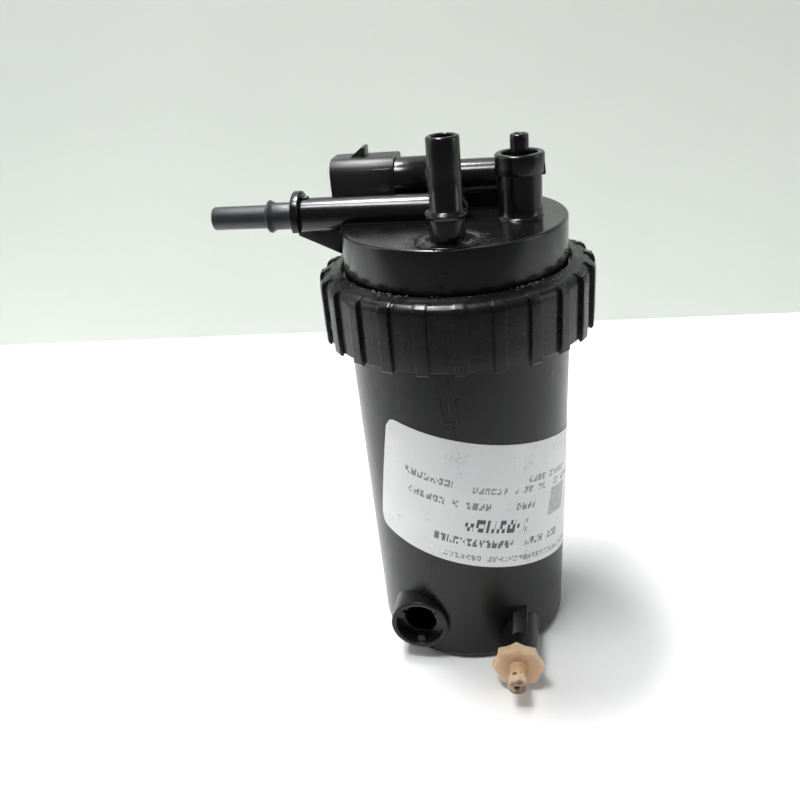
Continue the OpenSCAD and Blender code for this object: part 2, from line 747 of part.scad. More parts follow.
module heater_end_plug() {
    color("#1e1e1f") {
        bar_x(barrel_bore_r - fit, barrel_y, barrel_z, barrel_end - 4, barrel_end);
        bar_x(barrel_slim_r, barrel_y, barrel_z, barrel_end, barrel_end + 1.6);
        translate([barrel_end + 1.6, barrel_y, barrel_z]) rotate([0, 90, 0])
            cylinder(r1 = barrel_slim_r, r2 = barrel_slim_r - 1.5, h = 1.2);
    }
}

module ptc_tablets() {
    color("#55585c") for (i = [0:2])
        translate([-12 + 7 * i, barrel_y - 2.5, barrel_z - 0.8]) cube([5, 5, 1.6]);
}

module contact_strips() {
    color("#b8a05a") for (s = [-1, 1])
        translate([-shell_back + 2.8, barrel_y - 2, barrel_z + s * 1.12 - 0.3])
            cube([barrel_end + shell_back - 7.2, 4, 0.6]);
}

// ---------------------------------------------------------------- element
module standpipe() {
    top = top_z - head_top_t - 0.1;
    color("#3a3a3c") difference() {
        union() {
            translate([0, 0, element_top - 12]) cylinder(r = pipe_r, h = top - element_top + 12);
            translate([0, 0, element_top + 4]) cylinder(r = pipe_r + 1.6, h = 1.6);
        }
        translate([0, 0, element_top - 13]) cylinder(r = pipe_bore_r, h = rim_z);
    }
}

module element_top_seal() {
    color("#242424") translate([0, 0, element_top - cap_t - 1]) difference() {
        union() {
            cylinder(r = core_r - core_wall - fit, h = cap_t + 2.4);
            translate([0, 0, cap_t + 1 + 0.02]) cylinder(r = core_r + 1, h = 1.4);
        }
        translate([0, 0, -1]) cylinder(r = pipe_r + fit, h = 9);
    }
}

module element_top_cap() {
    color("#30343a") translate([0, 0, element_top - cap_t]) difference() {
        union() {
            cylinder(r = element_r + 0.8, h = cap_t);
            translate([0, 0, -3]) cylinder(r = element_r + 0.8, h = 3.1);
        }
        translate([0, 0, -4]) cylinder(r = element_r, h = 4);
        translate([0, 0, -5]) cylinder(r = core_r - core_wall, h = 12);
    }
}

module element_bottom_cap() {
    color("#30343a") translate([0, 0, element_base]) difference() {
        cylinder(r = element_r + 0.8, h = cap_t + 3);
        translate([0, 0, cap_t]) cylinder(r = element_r, h = 4);
    }
}

module star(outer, inner) {
    polygon([for (i = [0:2 * pleats - 1])
        let (r = i % 2 == 0 ? outer : inner, a = i * 180 / pleats) [r * cos(a), r * sin(a)]]);
}

module element_media() {
    low = element_base + cap_t;
    fold = 3.2;
    color("#d9cfae") translate([0, 0, low]) linear_extrude(element_top - cap_t - low) difference() {
        star(element_r - 0.3, core_r + fold + 0.4);
        star(element_r - 0.3 - fold, core_r + 0.4);
    }
}

module element_core() {
    low = element_base + cap_t;
    high = element_top - cap_t;
    rows = 7;
    pitch = (high - low) / rows;
    color("#4a4d50") translate([0, 0, low]) difference() {
        cylinder(r = core_r, h = high - low);
        translate([0, 0, -1]) cylinder(r = core_r - core_wall, h = high - low + 2);
        for (i = [0:rows - 1], a = [0, 60, 120])
            translate([0, 0, pitch * (i + 0.5)]) rotate([0, 0, a + 30 * (i % 2)])
                cube([2 * core_r + 2, 3, pitch * 0.6], center = true);
    }
}

bowl();
label();
drain_seal();
drain_screw();
head();
head_seal();
lock_ring();
side_spigot();
side_spigot_seal();
top_spigot();
valve_seat();
valve_plunger();
valve_spring();
return_nozzle();
valve_cap();
heater_housing();
connector_shell();
connector_seal();
terminal_pins();
heater_end_plug();
ptc_tablets();
contact_strips();
standpipe();
element_top_seal();
element_top_cap();
element_media();
element_core();
element_bottom_cap();
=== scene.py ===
import math
import random

import bpy
from mathutils import Matrix, Vector


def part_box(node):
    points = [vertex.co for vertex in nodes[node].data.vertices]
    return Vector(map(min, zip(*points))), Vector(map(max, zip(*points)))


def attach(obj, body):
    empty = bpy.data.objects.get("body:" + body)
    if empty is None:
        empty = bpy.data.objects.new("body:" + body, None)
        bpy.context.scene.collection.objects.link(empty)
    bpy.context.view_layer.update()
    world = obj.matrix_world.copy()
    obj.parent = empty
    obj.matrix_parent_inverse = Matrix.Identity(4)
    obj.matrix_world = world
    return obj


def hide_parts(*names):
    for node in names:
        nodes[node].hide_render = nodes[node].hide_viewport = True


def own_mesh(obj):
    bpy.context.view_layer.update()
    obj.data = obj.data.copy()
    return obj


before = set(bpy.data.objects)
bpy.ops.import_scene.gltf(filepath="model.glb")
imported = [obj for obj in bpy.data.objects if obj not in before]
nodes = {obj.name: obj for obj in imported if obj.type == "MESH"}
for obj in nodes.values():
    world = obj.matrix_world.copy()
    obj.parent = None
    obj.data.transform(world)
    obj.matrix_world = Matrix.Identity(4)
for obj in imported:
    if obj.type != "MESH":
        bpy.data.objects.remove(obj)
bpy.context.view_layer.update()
MM = 0.001


# ------------------------------------------------------------ hand tools
def nothing_selected():
    if bpy.context.object and bpy.context.object.mode == "EDIT":
        bpy.ops.object.mode_set(mode="OBJECT")
    bpy.ops.object.select_all(action="DESELECT")


def pick(piece):
    """Selects one piece alone and makes it the active one."""
    nothing_selected()
    piece.select_set(True)
    bpy.context.view_layer.objects.active = piece
    return piece


def edit(piece):
    pick(piece)
    bpy.ops.object.mode_set(mode="EDIT")
    bpy.ops.mesh.select_all(action="DESELECT")


def leave():
    bpy.ops.object.mode_set(mode="OBJECT")


def take_faces(piece, wanted):
    """Selects, in edit mode, the faces whose centre and normal the test wants."""
    bpy.ops.object.mode_set(mode="OBJECT")
    for f in piece.data.polygons:
        f.select = bool(wanted(f.center, f.normal))
    bpy.ops.object.mode_set(mode="EDIT")


def settle(piece):
    """Puts a piece's place into its mesh."""
    pick(piece)
    bpy.ops.object.transform_apply(location=True, rotation=True, scale=True)


def apply_modifier(piece, kind, **settings):
    pick(piece)
    m = piece.modifiers.new(kind.lower(), kind)
    for key, value in settings.items():
        setattr(m, key, value)
    bpy.ops.object.modifier_apply(modifier=m.name)


def rounded_edges(piece, width, angle=32, segments=3):
    apply_modifier(piece, "BEVEL", width=width, segments=segments, limit_method="ANGLE",
                   angle_limit=math.radians(angle), use_clamp_overlap=True,
                   miter_outer="MITER_ARC", harden_normals=False)


def smooth(piece, angle=38):
    pick(piece)
    bpy.ops.object.shade_smooth_by_angle(angle=math.radians(angle))


def finish_piece(piece, name, body, slot, *materials, stands_for=()):
    piece.name = name
    piece.data.name = name
    piece.data.materials.clear()
    for m in materials:
        piece.data.materials.append(m)
    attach(piece, body)
    for node in stands_for:
        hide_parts(node)
    return piece


def moulded_copy(node, width, angle=32, segments=3, keep_flat=0.6):
    """A copy of a frame part with its mesh joined up and its corners rounded as a mould rounds them."""
    pick(nodes[node])
    bpy.ops.object.duplicate()
    copy = bpy.context.object
    copy.parent = None
    for key in list(copy.keys()):
        del copy[key]
    edit(copy)
    bpy.ops.mesh.customdata_custom_splitnormals_clear()
    bpy.ops.mesh.select_all(action="SELECT")
    bpy.ops.mesh.remove_doubles(threshold=2e-6)
    bpy.ops.mesh.dissolve_limited(angle_limit=math.radians(keep_flat))
    leave()
    if width:
        rounded_edges(copy, width, angle, segments)
    smooth(copy)
    return copy


def turned(profile, centre=(0, 0, 0), along="Z", vertices=96):
    """A round shape: a circle extruded and resized step by step along (radius, height) points.
    A profile that comes back to its first point is closed."""
    bpy.ops.object.select_all(action="DESELECT")
    radius, height = profile[0]
    bpy.ops.mesh.primitive_circle_add(vertices=vertices, radius=radius * MM, location=(0, 0, 0))
    piece = bpy.context.object
    bpy.ops.object.mode_set(mode="EDIT")
    bpy.ops.mesh.select_all(action="SELECT")
    bpy.ops.transform.translate(value=(0, 0, height * MM))
    for r, h in profile[1:]:
        bpy.ops.mesh.extrude_region_move(TRANSFORM_OT_translate={"value": (0, 0, (h - height) * MM)})
        bpy.ops.transform.resize(value=(r / radius, r / radius, 1), center_override=(0, 0, 0))
        radius, height = r, h
    bpy.ops.mesh.select_all(action="SELECT")
    bpy.ops.mesh.remove_doubles(threshold=1e-6)
    bpy.ops.mesh.select_all(action="DESELECT")
    bpy.ops.mesh.select_non_manifold(extend=False)
    if profile[0] != profile[-1]:
        bpy.ops.mesh.fill_holes(sides=0)
    bpy.ops.mesh.select_all(action="SELECT")
    bpy.ops.mesh.normals_make_consistent(inside=False)
    leave()
    if along == "-X":
        piece.rotation_euler = (0, math.radians(-90), 0)
    elif along == "-Y":
        piece.rotation_euler = (math.radians(90), 0, 0)
    piece.location = Vector(centre) * MM
    settle(piece)
    return piece


def arc(r, h, radius, start, end, steps=6):
    """Profile points round a corner whose middle is at (r, h), from one angle to another."""
    return [(r + radius * math.cos(math.radians(start + (end - start) * n / steps)),
             h + radius * math.sin(math.radians(start + (end - start) * n / steps))) for n in range(steps
                                                                                                    + 1)]


def block(low, high, shape=None):
    """A block between two corners in millimetres, whose vertices a function may then shift."""
    bpy.ops.object.select_all(action="DESELECT")
    middle = [(a + b) / 2 * MM for a, b in zip(low, high)]
    bpy.ops.mesh.primitive_cube_add(size=1, location=middle)
    piece = bpy.context.object
    piece.scale = [(b - a) * MM for a, b in zip(low, high)]
    settle(piece)
    if shape:
        for vertex in piece.data.vertices:
            shift = shape(*(vertex.co / MM))
            if shift:
                vertex.co += Vector(shift) * MM
    return piece


def carve(piece, *cutters):
    """Cuts pieces out of another and throws them away."""
    for cutter in cutters:
        apply_modifier(piece, "BOOLEAN", operation="DIFFERENCE", solver="EXACT", object=cutter)
        bpy.data.objects.remove(cutter)
    return piece


def together(*pieces):
    nothing_selected()
    for piece in pieces:
        piece.select_set(True)
    bpy.context.view_layer.objects.active = pieces[0]
    bpy.ops.object.join()
    return bpy.context.object


# ------------------------------------------------------------ materials
class Finish:
    """A node material that is built up step by step."""

    def __init__(self, name):
        self.material = bpy.data.materials.new(name)
        self.material.use_nodes = True
        self.tree = self.material.node_tree
        self.shader = self.tree.nodes["Principled BSDF"]
        self.place = self.new("ShaderNodeTexCoord").outputs["Object"]

    def new(self, kind, **settings):
        node = self.tree.nodes.new(kind)
        for key, value in settings.items():
            setattr(node, key, value)
        return node

    def join(self, source, target):
        if isinstance(source, (int, float)):
            target.default_value = source
        elif isinstance(source, tuple):
            target.default_value = source + (1,) * (4 - len(source)) if len(target.default_value) == 4 else source
        else:
            self.tree.links.new(source, target)

    def sum(self, operation, a, b=0.0, clamp=False):
        node = self.new("ShaderNodeMath", operation=operation, use_clamp=clamp)
        self.join(a, node.inputs[0])
        self.join(b, node.inputs[1])
        return node.outputs[0]

    def stretched(self, scale, source=None):
        node = self.new("ShaderNodeMapping")
        self.join(source or self.place, node.inputs["Vector"])
        node.inputs["Scale"].default_value = scale
        return node.outputs[0]

    def noise(self, scale, detail=4, rough=0.55, source=None, warp=0.0):
        node = self.new("ShaderNodeTexNoise")
        self.join(source or self.place, node.inputs["Vector"])
        node.inputs["Scale"].default_value = scale
        node.inputs["Detail"].default_value = detail
        node.inputs["Roughness"].default_value = rough
        node.inputs["Distortion"].default_value = warp
        return node.outputs["Fac"]

    def spread(self, value, low, high, to_low=0.0, to_high=1.0):
        node = self.new("ShaderNodeMapRange")
        self.join(value, node.inputs["Value"])
        for key, v in zip(("From Min", "From Max", "To Min", "To Max"), (low, high, to_low, to_high)):
            node.inputs[key].default_value = v
        return node.outputs[0]

    def blend(self, share, a, b):
        node = self.new("ShaderNodeMix", data_type="RGBA")
        self.join(share, node.inputs[0])
        self.join(a, node.inputs[6])
        self.join(b, node.inputs[7])
        return node.outputs[2]

    def up(self):
        """The upward part of the surface's normal, which is 1 on a level top."""
        node = self.new("ShaderNodeSeparateXYZ")
        self.join(self.new("ShaderNodeNewGeometry").outputs["Normal"], node.inputs[0])
        return node.outputs[2]

    def colour(self, value):
        self.join(value, self.shader.inputs["Base Color"])

    def rough(self, value):
        self.join(value, self.shader.inputs["Roughness"])

    def relief(self, height, strength, distance):
        node = self.new("ShaderNodeBump")
        node.inputs["Strength"].default_value = strength
        node.inputs["Distance"].default_value = distance
        self.join(height, node.inputs["Height"])
        self.join(node.outputs[0], self.shader.inputs["Normal"])

    def set(self, **values):
        for key, value in values.items():
            self.shader.inputs[key.replace("_", " ")].default_value = value
        return self.material


def satin_bowl_plastic():
    f = Finish("satin_bowl_plastic")
    grain = f.noise(1500, 3)
    wipe = f.noise(1, 4, source=f.stretched((34, 34, 9)), warp=0.6)
    scuff = f.spread(f.noise(1, 6, 0.7, source=f.stretched((260, 260, 30))), 0.66, 0.74)
    f.colour(f.blend(f.spread(wipe, 0.35, 0.7), (0.006, 0.0062, 0.0065), (0.0115, 0.0115, 0.0113)))
    f.rough(f.sum("ADD", f.spread(wipe, 0.3, 0.7, 0.25, 0.34), f.sum("MULTIPLY", scuff, 0.12)))
    f.relief(f.sum("ADD", grain, f.sum("MULTIPLY", wipe, 2.2)), 0.12, 0.0003)
    return f.set(Specular_IOR_Level=0.28)


def oily_head_plastic():
    f = Finish("oily_head_plastic")
    film = f.noise(95, 5, 0.6, warp=0.8)
    ripple = f.noise(1, 3, source=f.stretched((150, 520, 520)), warp=0.3)
    dust = f.sum("MULTIPLY", f.spread(f.noise(2600, 2), 0.66, 0.72),
                 f.sum("MULTIPLY", f.spread(f.up(), 0.5, 0.95), f.spread(f.noise(120, 3), 0.5, 0.68)))
    f.colour(f.blend(f.sum("MULTIPLY", dust, 0.5), (0.0035, 0.0036, 0.0038), (0.12, 0.11, 0.095)))
    f.rough(f.sum("ADD", f.spread(film, 0.32, 0.68, 0.18, 0.27), f.sum("MULTIPLY", dust, 0.4)))
    f.relief(f.sum("ADD", f.sum("MULTIPLY", film, 1.2), f.sum("MULTIPLY", ripple, 0.6)), 0.07, 0.0004)
    return f.set(Specular_IOR_Level=0.34, Coat_Weight=0.2, Coat_Roughness=0.1)


def ring_plastic():
    f = Finish("dusty_ring_plastic_with_painted_edge_highlights")
    film = f.noise(140, 5, 0.65, warp=0.5)
    grain = f.noise(1900, 3)
    streak = f.noise(1, 5, 0.7, source=f.stretched((700, 700, 60)))
    dust = f.sum("MULTIPLY", f.spread(f.noise(1700, 3, 0.7), 0.6, 0.68),
                 f.sum("MULTIPLY", f.spread(f.up(), 0.25, 0.9), f.spread(f.noise(70, 3), 0.46, 0.62)))
    # Pointiness picks out the bevelled rib edges, which are lightened towards the pale dust colour as a painted
    # highlight; the pale streaks beside them are dirt.
    painted_edge_highlight = f.spread(f.new("ShaderNodeNewGeometry").outputs["Pointiness"], 0.53, 0.6)
    streaks_and_painted_edge_highlight = f.sum("MAXIMUM", f.sum("MULTIPLY", f.spread(streak, 0.68, 0.76), 0.25),
                 f.sum("MULTIPLY", painted_edge_highlight, 0.3))
    f.colour(f.blend(f.sum("ADD", f.sum("MULTIPLY", dust, 0.7), streaks_and_painted_edge_highlight, clamp=True),
                     (0.004, 0.0041, 0.0044), (0.085, 0.08, 0.072)))
    f.rough(f.sum("ADD", f.spread(film, 0.3, 0.7, 0.2, 0.4), f.sum("MULTIPLY", dust, 0.35)))
    f.relief(f.sum("ADD", f.sum("MULTIPLY", film, 1.6), grain), 0.1, 0.0004)
    return f.set(Specular_IOR_Level=0.3, Coat_Weight=0.08, Coat_Roughness=0.15)


def spigot_plastic():
    f = Finish("grey_spigot_plastic")
    grain = f.noise(2200, 3)
    draw = f.noise(1, 4, source=f.stretched((40, 900, 900)))
    f.colour(f.blend(f.spread(draw, 0.3, 0.7), (0.013, 0.0135, 0.0155), (0.028, 0.029, 0.032)))
    f.rough(f.spread(f.noise(160, 4), 0.3, 0.7, 0.34, 0.5))
    f.relief(f.sum("ADD", grain, draw), 0.12, 0.0003)
    return f.set(Specular_IOR_Level=0.5)


def shell_plastic():
    f = Finish("satin_shell_plastic")
    grain = f.noise(2400, 3)
    film = f.noise(110, 4, warp=0.4)
    f.colour(f.blend(f.spread(film, 0.3, 0.7), (0.0085, 0.0086, 0.009), (0.016, 0.016, 0.0165)))
    f.rough(f.spread(film, 0.3, 0.7, 0.26, 0.42))
    f.relief(f.sum("ADD", grain, f.sum("MULTIPLY", film, 2.0)), 0.14, 0.0003)
    return f.set(Specular_IOR_Level=0.5)


def drain_nylon(centre):
    """Natural nylon, fuel-stained near the middle of the wheel and dirty at the nozzle's tip."""
    f = Finish("stained_drain_nylon")
    shift = f.new("ShaderNodeVectorMath", operation="SUBTRACT")
    f.join(f.place, shift.inputs[0])
    shift.inputs[1].default_value = centre
    apart = f.new("ShaderNodeSeparateXYZ")
    f.join(shift.outputs[0], apart.inputs[0])
    across = f.sum("SQRT", f.sum("ADD", f.sum("MULTIPLY", apart.outputs[0], apart.outputs[0]),
                                 f.sum("MULTIPLY", apart.outputs[2], apart.outputs[2])))
    cloud = f.noise(330, 5, 0.6, warp=0.7)
    near = f.spread(f.sum("ADD", across, f.sum("MULTIPLY", cloud, 0.004)), 0.0045, 0.0105, 1.0, 0.0)
    by_wheel = f.spread(apart.outputs[1], -0.0045, -0.0015)
    at_tip = f.spread(apart.outputs[1], -0.0062, -0.0092)
    spots = f.sum("MULTIPLY", f.spread(f.noise(900, 4, 0.7), 0.62, 0.67), f.spread(cloud, 0.45, 0.6))
    plain = f.blend(f.spread(cloud, 0.35, 0.65), (0.7, 0.52, 0.35), (0.6, 0.43, 0.27))
    stained = f.blend(f.sum("MULTIPLY", f.sum("MULTIPLY", near, by_wheel), 0.6), plain, (0.46, 0.22, 0.09))
    dirty = f.blend(f.sum("MULTIPLY", spots, 0.8), stained, (0.1, 0.05, 0.025))
    f.colour(f.blend(f.sum("MULTIPLY", at_tip, f.spread(cloud, 0.4, 0.55, 0.25, 0.9)), dirty,
                     (0.085, 0.055, 0.03)))
    f.rough(f.spread(cloud, 0.3, 0.7, 0.38, 0.55))
    f.relief(f.sum("ADD", f.noise(1500, 3), f.sum("MULTIPLY", cloud, 3.0)), 0.18, 0.0004)
    return f.set(Subsurface_Weight=0.25, Subsurface_Scale=0.004, Specular_IOR_Level=0.5)


def flat_grained(name, dark, light, rough, scale, strength, metallic=0.0, stretch=None):
    """A plain finish with cloudy colour and a fine grain, for rubber, metal and inner parts."""
    f = Finish(name)
    cloud = f.noise(scale, 4, warp=0.3)
    source = f.stretched(stretch) if stretch else None
    grain = f.noise(1 if stretch else scale * 12, 3, source=source)
    f.colour(f.blend(f.spread(cloud, 0.3, 0.7), dark, light))
    f.rough(f.spread(grain, 0.3, 0.7, rough[0], rough[1]))
    f.relief(grain, strength, 0.0003)
    return f.set(Metallic=metallic)


def label_paper():
    """Off-white paper with rows of generic grey marks, one grey patch and smudges, on the label's own map."""
    f = Finish("printed_label_paper")
    uv = f.new("ShaderNodeUVMap", uv_map="paper").outputs[0]
    apart = f.new("ShaderNodeSeparateXYZ")
    f.join(uv, apart.inputs[0])
    u, v = f.sum("MULTIPLY", apart.outputs[0], 90.0), f.sum("MULTIPLY", apart.outputs[1], 49.0)

    def between(value, low, high):
        return f.sum("MULTIPLY", f.sum("GREATER_THAN", value, low), f.sum("LESS_THAN", value, high))

    def chance(a, b, seed):
        join = f.new("ShaderNodeCombineXYZ")
        f.join(a, join.inputs[0])
        f.join(b, join.inputs[1])
        f.join(float(seed), join.inputs[2])
        white = f.new("ShaderNodeTexWhiteNoise", noise_dimensions="3D")
        f.join(join.outputs[0], white.inputs[0])
        return white.outputs["Value"]

    def marks(u0, u1, middle, high, pitch, ink, seed, gaps=0.14):
        """One row of meaningless upright strokes and bars, in groups as long as words."""
        t = f.sum("DIVIDE", f.sum("SUBTRACT", u, u0), pitch)
        s = f.sum("DIVIDE", f.sum("SUBTRACT", v, middle - high / 2), high)
        cell = f.sum("FLOOR", t)
        stroke = f.sum("FLOOR", f.sum("MULTIPLY", f.sum("FRACT", t), 3.999))
        level = f.sum("FLOOR", f.sum("MULTIPLY", s, 2.999))
        on = f.sum("GREATER_THAN", chance(f.sum("ADD", f.sum("MULTIPLY", cell, 4.0), stroke), level, seed),
                   0.36)
        inside = f.sum("LESS_THAN", f.sum("FRACT", t), 0.8)
        word = f.sum("GREATER_THAN", chance(cell, 0.0, seed + 0.5), gaps)
        area = f.sum("MULTIPLY", between(u, u0, u1), between(v, middle - high / 2, middle + high / 2))
        mask = f.sum("MULTIPLY", f.sum("MULTIPLY", on, inside), f.sum("MULTIPLY", word, area))
        return f.sum("MULTIPLY", mask, ink)

    rows = [
        marks(28.6, 88, 3.3, 2.3, 2.0, 0.62, 1), marks(24.2, 52.8, 9.7, 3.2, 2.3, 0.85, 2, 0.08),
        marks(58, 76, 9.9, 3.0, 2.2, 0.8, 3), marks(34, 57.2, 17, 5.2, 3.8, 0.97, 4, 0.0),
        marks(9.8, 59, 24.8, 2.8, 2.3, 0.7, 5, 0.2), marks(34, 86, 31.2, 2.5, 2.1, 0.62, 6),
        marks(54, 76, 35, 2.5, 2.1, 0.6, 7), marks(9.8, 27, 32.2, 2.8, 2.4, 0.7, 8, 0.22),
    ]
    ink = rows[0]
    for row in rows[1:]:
        ink = f.sum("MAXIMUM", ink, row)
    patch = f.sum("MULTIPLY", between(u, 67.5, 78.6), between(v, 18, 29))
    patch = f.sum("MULTIPLY", patch, f.spread(chance(f.sum("FLOOR", f.sum("MULTIPLY", u, 2.4)),
                                                   f.sum("FLOOR",
                                                         f.sum("MULTIPLY", v, 2.4)), 9), 0, 1, 0.3, 0.62))
    ink = f.sum("MAXIMUM", ink, patch)
    worn = f.spread(f.noise(520, 4, 0.7), 0.62, 0.75, 1.0, 0.45)
    cloud = f.noise(95, 5, 0.65, warp=0.6)
    smudge = f.sum("MULTIPLY", f.spread(cloud, 0.56, 0.72), f.spread(f.noise(700, 4, 0.7), 0.45, 0.62))
    fleck = f.sum("MULTIPLY", f.spread(f.noise(620, 3, 0.6), 0.69, 0.73), f.spread(f.noise(60, 2), 0.5, 0.6))
    paper = f.blend(f.spread(f.noise(60, 3), 0.3, 0.7), (0.72, 0.725, 0.73), (0.78, 0.78, 0.775))
    paper = f.blend(f.sum("MULTIPLY", smudge, 0.55), paper, (0.36, 0.355, 0.34))
    paper = f.blend(f.sum("MULTIPLY", fleck, 0.8), paper, (0.16, 0.15, 0.14))
    f.colour(f.blend(f.sum("MULTIPLY", ink, worn), paper, (0.045, 0.045, 0.05)))
    f.rough(f.spread(cloud, 0.3, 0.7, 0.36, 0.52))
    f.relief(f.noise(1400, 4), 0.08, 0.0003)
    return f.set(Specular_IOR_Level=0.45)


drain_low, drain_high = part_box("drain_screw")
drain_axis = ((drain_low.x + drain_high.x) / 2, drain_low.y + 9.2 * MM, (drain_low.z + drain_high.z) / 2)
BOWL = satin_bowl_plastic()
HEAD = oily_head_plastic()
RING = ring_plastic()
SPIGOT = spigot_plastic()
SHELL = shell_plastic()
DRAIN = drain_nylon(drain_axis)
PAPER = label_paper()
RUBBER = flat_grained("nitrile_rubber", (0.012, 0.012, 0.012), (0.024, 0.024, 0.024), (0.45, 0.62), 120, 0.2)
SILICONE = flat_grained("red_silicone", (0.22, 0.04, 0.012), (0.34, 0.07, 0.022), (0.4, 0.55), 150, 0.2)
ACETAL = flat_grained("valve_acetal", (0.55, 0.51, 0.4), (0.65, 0.61, 0.5), (0.32, 0.46), 160, 0.1)
STEEL = flat_grained("drawn_steel", (0.5, 0.5, 0.52), (0.66, 0.66, 0.67), (0.2, 0.36), 200, 0.1, 1.0,
                     (300, 300, 2600))
TIN = flat_grained("tinned_blades", (0.62, 0.62, 0.6), (0.78, 0.78, 0.75), (0.16, 0.32), 240, 0.08, 1.0,
                   (60, 2400, 2400))
CERAMIC = flat_grained("fired_ceramic", (0.08, 0.08, 0.088), (0.13, 0.13, 0.14), (0.55, 0.75), 400, 0.3)
BRASS = flat_grained("rolled_brass", (0.6, 0.45, 0.19), (0.74, 0.58, 0.28), (0.22, 0.38), 200, 0.08, 1.0,
                     (50, 2000, 2000))
INNER = flat_grained("inner_nylon", (0.04, 0.044, 0.05), (0.062, 0.068, 0.075), (0.38, 0.55), 130, 0.15)
PLEATS = flat_grained("resin_paper", (0.6, 0.49, 0.28), (0.76, 0.66, 0.44), (0.7, 0.9), 90, 0.4)
GRIT = flat_grained("road_grit", (0.05, 0.045, 0.038), (0.26, 0.24, 0.2), (0.7, 0.95), 500, 0.5)
OIL = flat_grained("oil_beads", (0.004, 0.004, 0.004), (0.01, 0.009, 0.008), (0.03, 0.06), 200, 0.02)

for node, material in {
    "bowl": BOWL, "label": PAPER, "drain_seal": RUBBER, "drain_screw": DRAIN, "head": HEAD, "head_seal": RUBBER,
    "lock_ring": RING, "side_spigot": SPIGOT, "side_spigot_seal": RUBBER, "top_spigot": HEAD, "valve_seat": STEEL,
    "valve_plunger": ACETAL, "valve_spring": STEEL, "return_nozzle": HEAD, "valve_cap": HEAD,
    "heater_housing": HEAD, "connector_shell": SHELL, "connector_seal": SILICONE, "terminal_pins": TIN,
    "heater_end_plug": SHELL, "ptc_tablets": CERAMIC, "contact_strips": BRASS, "standpipe": INNER,
    "element_top_seal": RUBBER, "element_top_cap": INNER, "element_media": PLEATS, "element_core": INNER,
    "element_bottom_cap": INNER,
}.items():
    nodes[node].data.materials.clear()
    nodes[node].data.materials.append(material)


# ------------------------------------------------------------ sizes, in millimetres
TOP = 159.6
RIM = 138.5
TUBE_Z = 162.0
PORT = (-15.9, 16.9, 37.3)          # x, z and how far out the face is
DRAIN_PLACE = (20.6, 10.8, 44.4)    # the same for the drain boss


def bowl_radius(z):
    """Outer radius of the bowl at a height, both in millimetres."""
    return 35.5 + 2.7 * z / 125


# ------------------------------------------------------------ bowl
def bowl():
    """The tapered bowl with its cavity and neck, and the bored sensor port and drain boss. The neck's thread is
    made apart.
    """
    x, z, face = PORT
    dx, dz, dface = DRAIN_PLACE
    body = turned(
        [(0.02, 0)] + arc(32.3, 3.2, 3.2, -90, 3, 8) + [(bowl_radius(60), 60), (38.2, 125), (39.7, 126.5),
         (39.7, 137.9), (39.1, 138.5), (36.8, 138.5), (36, 137.5), (36, 126.5), (35.7, 123), (33.04,
                                                                                              5.2), (31, 3.2),
         (0.02, 3.2)], vertices=256)
    carve(body, turned([(5.85, 11), (5.85, 45)], (x, 0, z), "-Y", 48))
    smooth(body, 30)
    port = turned([(8.65, 23), (10.7, 23)] + arc(10.0, 36.6, 0.7, 0, 90, 4) + arc(9.25, 36.7, 0.6, 90, 180, 4)
                  + [(8.65, 33.1), (6.25, 33.1), (5.85, 32.7), (5.85, 23), (8.65, 23)], (x, 0, z), "-Y", 96)
    smooth(port, 30)
    boss = turned([(3.3, 17), (6.6, 17)] + arc(6.0, 43.8, 0.6, 0, 90, 4)
                  + [(3.9, 44.4), (3.3, 43.8), (3.3, 17)],
                  (dx, 0, dz), "-Y", 64)
    smooth(boss, 30)
    rib = block((dx - 2.8, -41.4, dz + 1), (dx + 2.8, -20, dz + 9.5),
                lambda a, b, c: (0, 0, -4 if b < -40 else 3) if c > dz + 8 else None)
    rounded_edges(rib, 0.6 * MM, 25, 3)
    smooth(rib)
    return [(body, "bowl_body"), (port, "sensor_port"), (boss, "drain_boss"), (rib, "drain_boss_rib")]


def raised_marks():
    """Moulded lines on the bowl: a frame with turned-out ends, a centre line, two dashes and a low step."""
    made = []

    def bar(a0, z0, wide, high, proud=0.16):
        r = bowl_radius(z0 + high / 2)
        piece = block((-wide / 2, -r - proud, z0), (wide / 2, -r + 1.2, z0 + high))
        piece.rotation_euler = (0, 0, math.radians(a0 + 90))
        settle(piece)
        made.append(piece)

    for side in (-1, 1):
        bar(-90 + side * 3.7, 102.4, 0.5, 9)
        bar(-90 + side * 4.8, 111.0, 1.5, 0.45)
    for n in range(5):
        bar(-90 + (n - 2) * 1.6, 102.4, 1.15, 0.5)
    bar(-89.6, 105.5, 0.4, 14.5)
    bar(-91.6, 100.4, 1.1, 0.5)
    bar(-88.0, 100.4, 1.1, 0.5)
    marks = together(*made)
    rounded_edges(marks, 0.12 * MM, 30, 2)
    smooth(marks)
    step = turned([(bowl_radius(117) - 0.8, 117), (bowl_radius(117) + 0.32, 117),
                   (bowl_radius(124.6) + 0.36, 124.8),
                   (bowl_radius(124.6) - 0.8, 124.8), (bowl_radius(117) - 0.8, 117)], vertices=256)
    edit(step)
    bpy.ops.mesh.select_all(action="SELECT")
    for turn, clear in ((-88, False), (-58, True)):
        a = math.radians(turn)
        bpy.ops.mesh.select_all(action="SELECT")
        bpy.ops.mesh.bisect(plane_co=(0, 0, 0), plane_no=(-math.sin(a), math.cos(a), 0), use_fill=True,
                            clear_inner=not clear, clear_outer=clear)
    leave()
    smooth(step, 30)
    return [(marks, "closing_marks"), (step, "shoulder_step")]


def neck_thread():
    """A screwed ridge round the neck, grown from one square section."""
    return screwed_ridge(39.3, 41.6, 3.2, 1.2, 129.1)


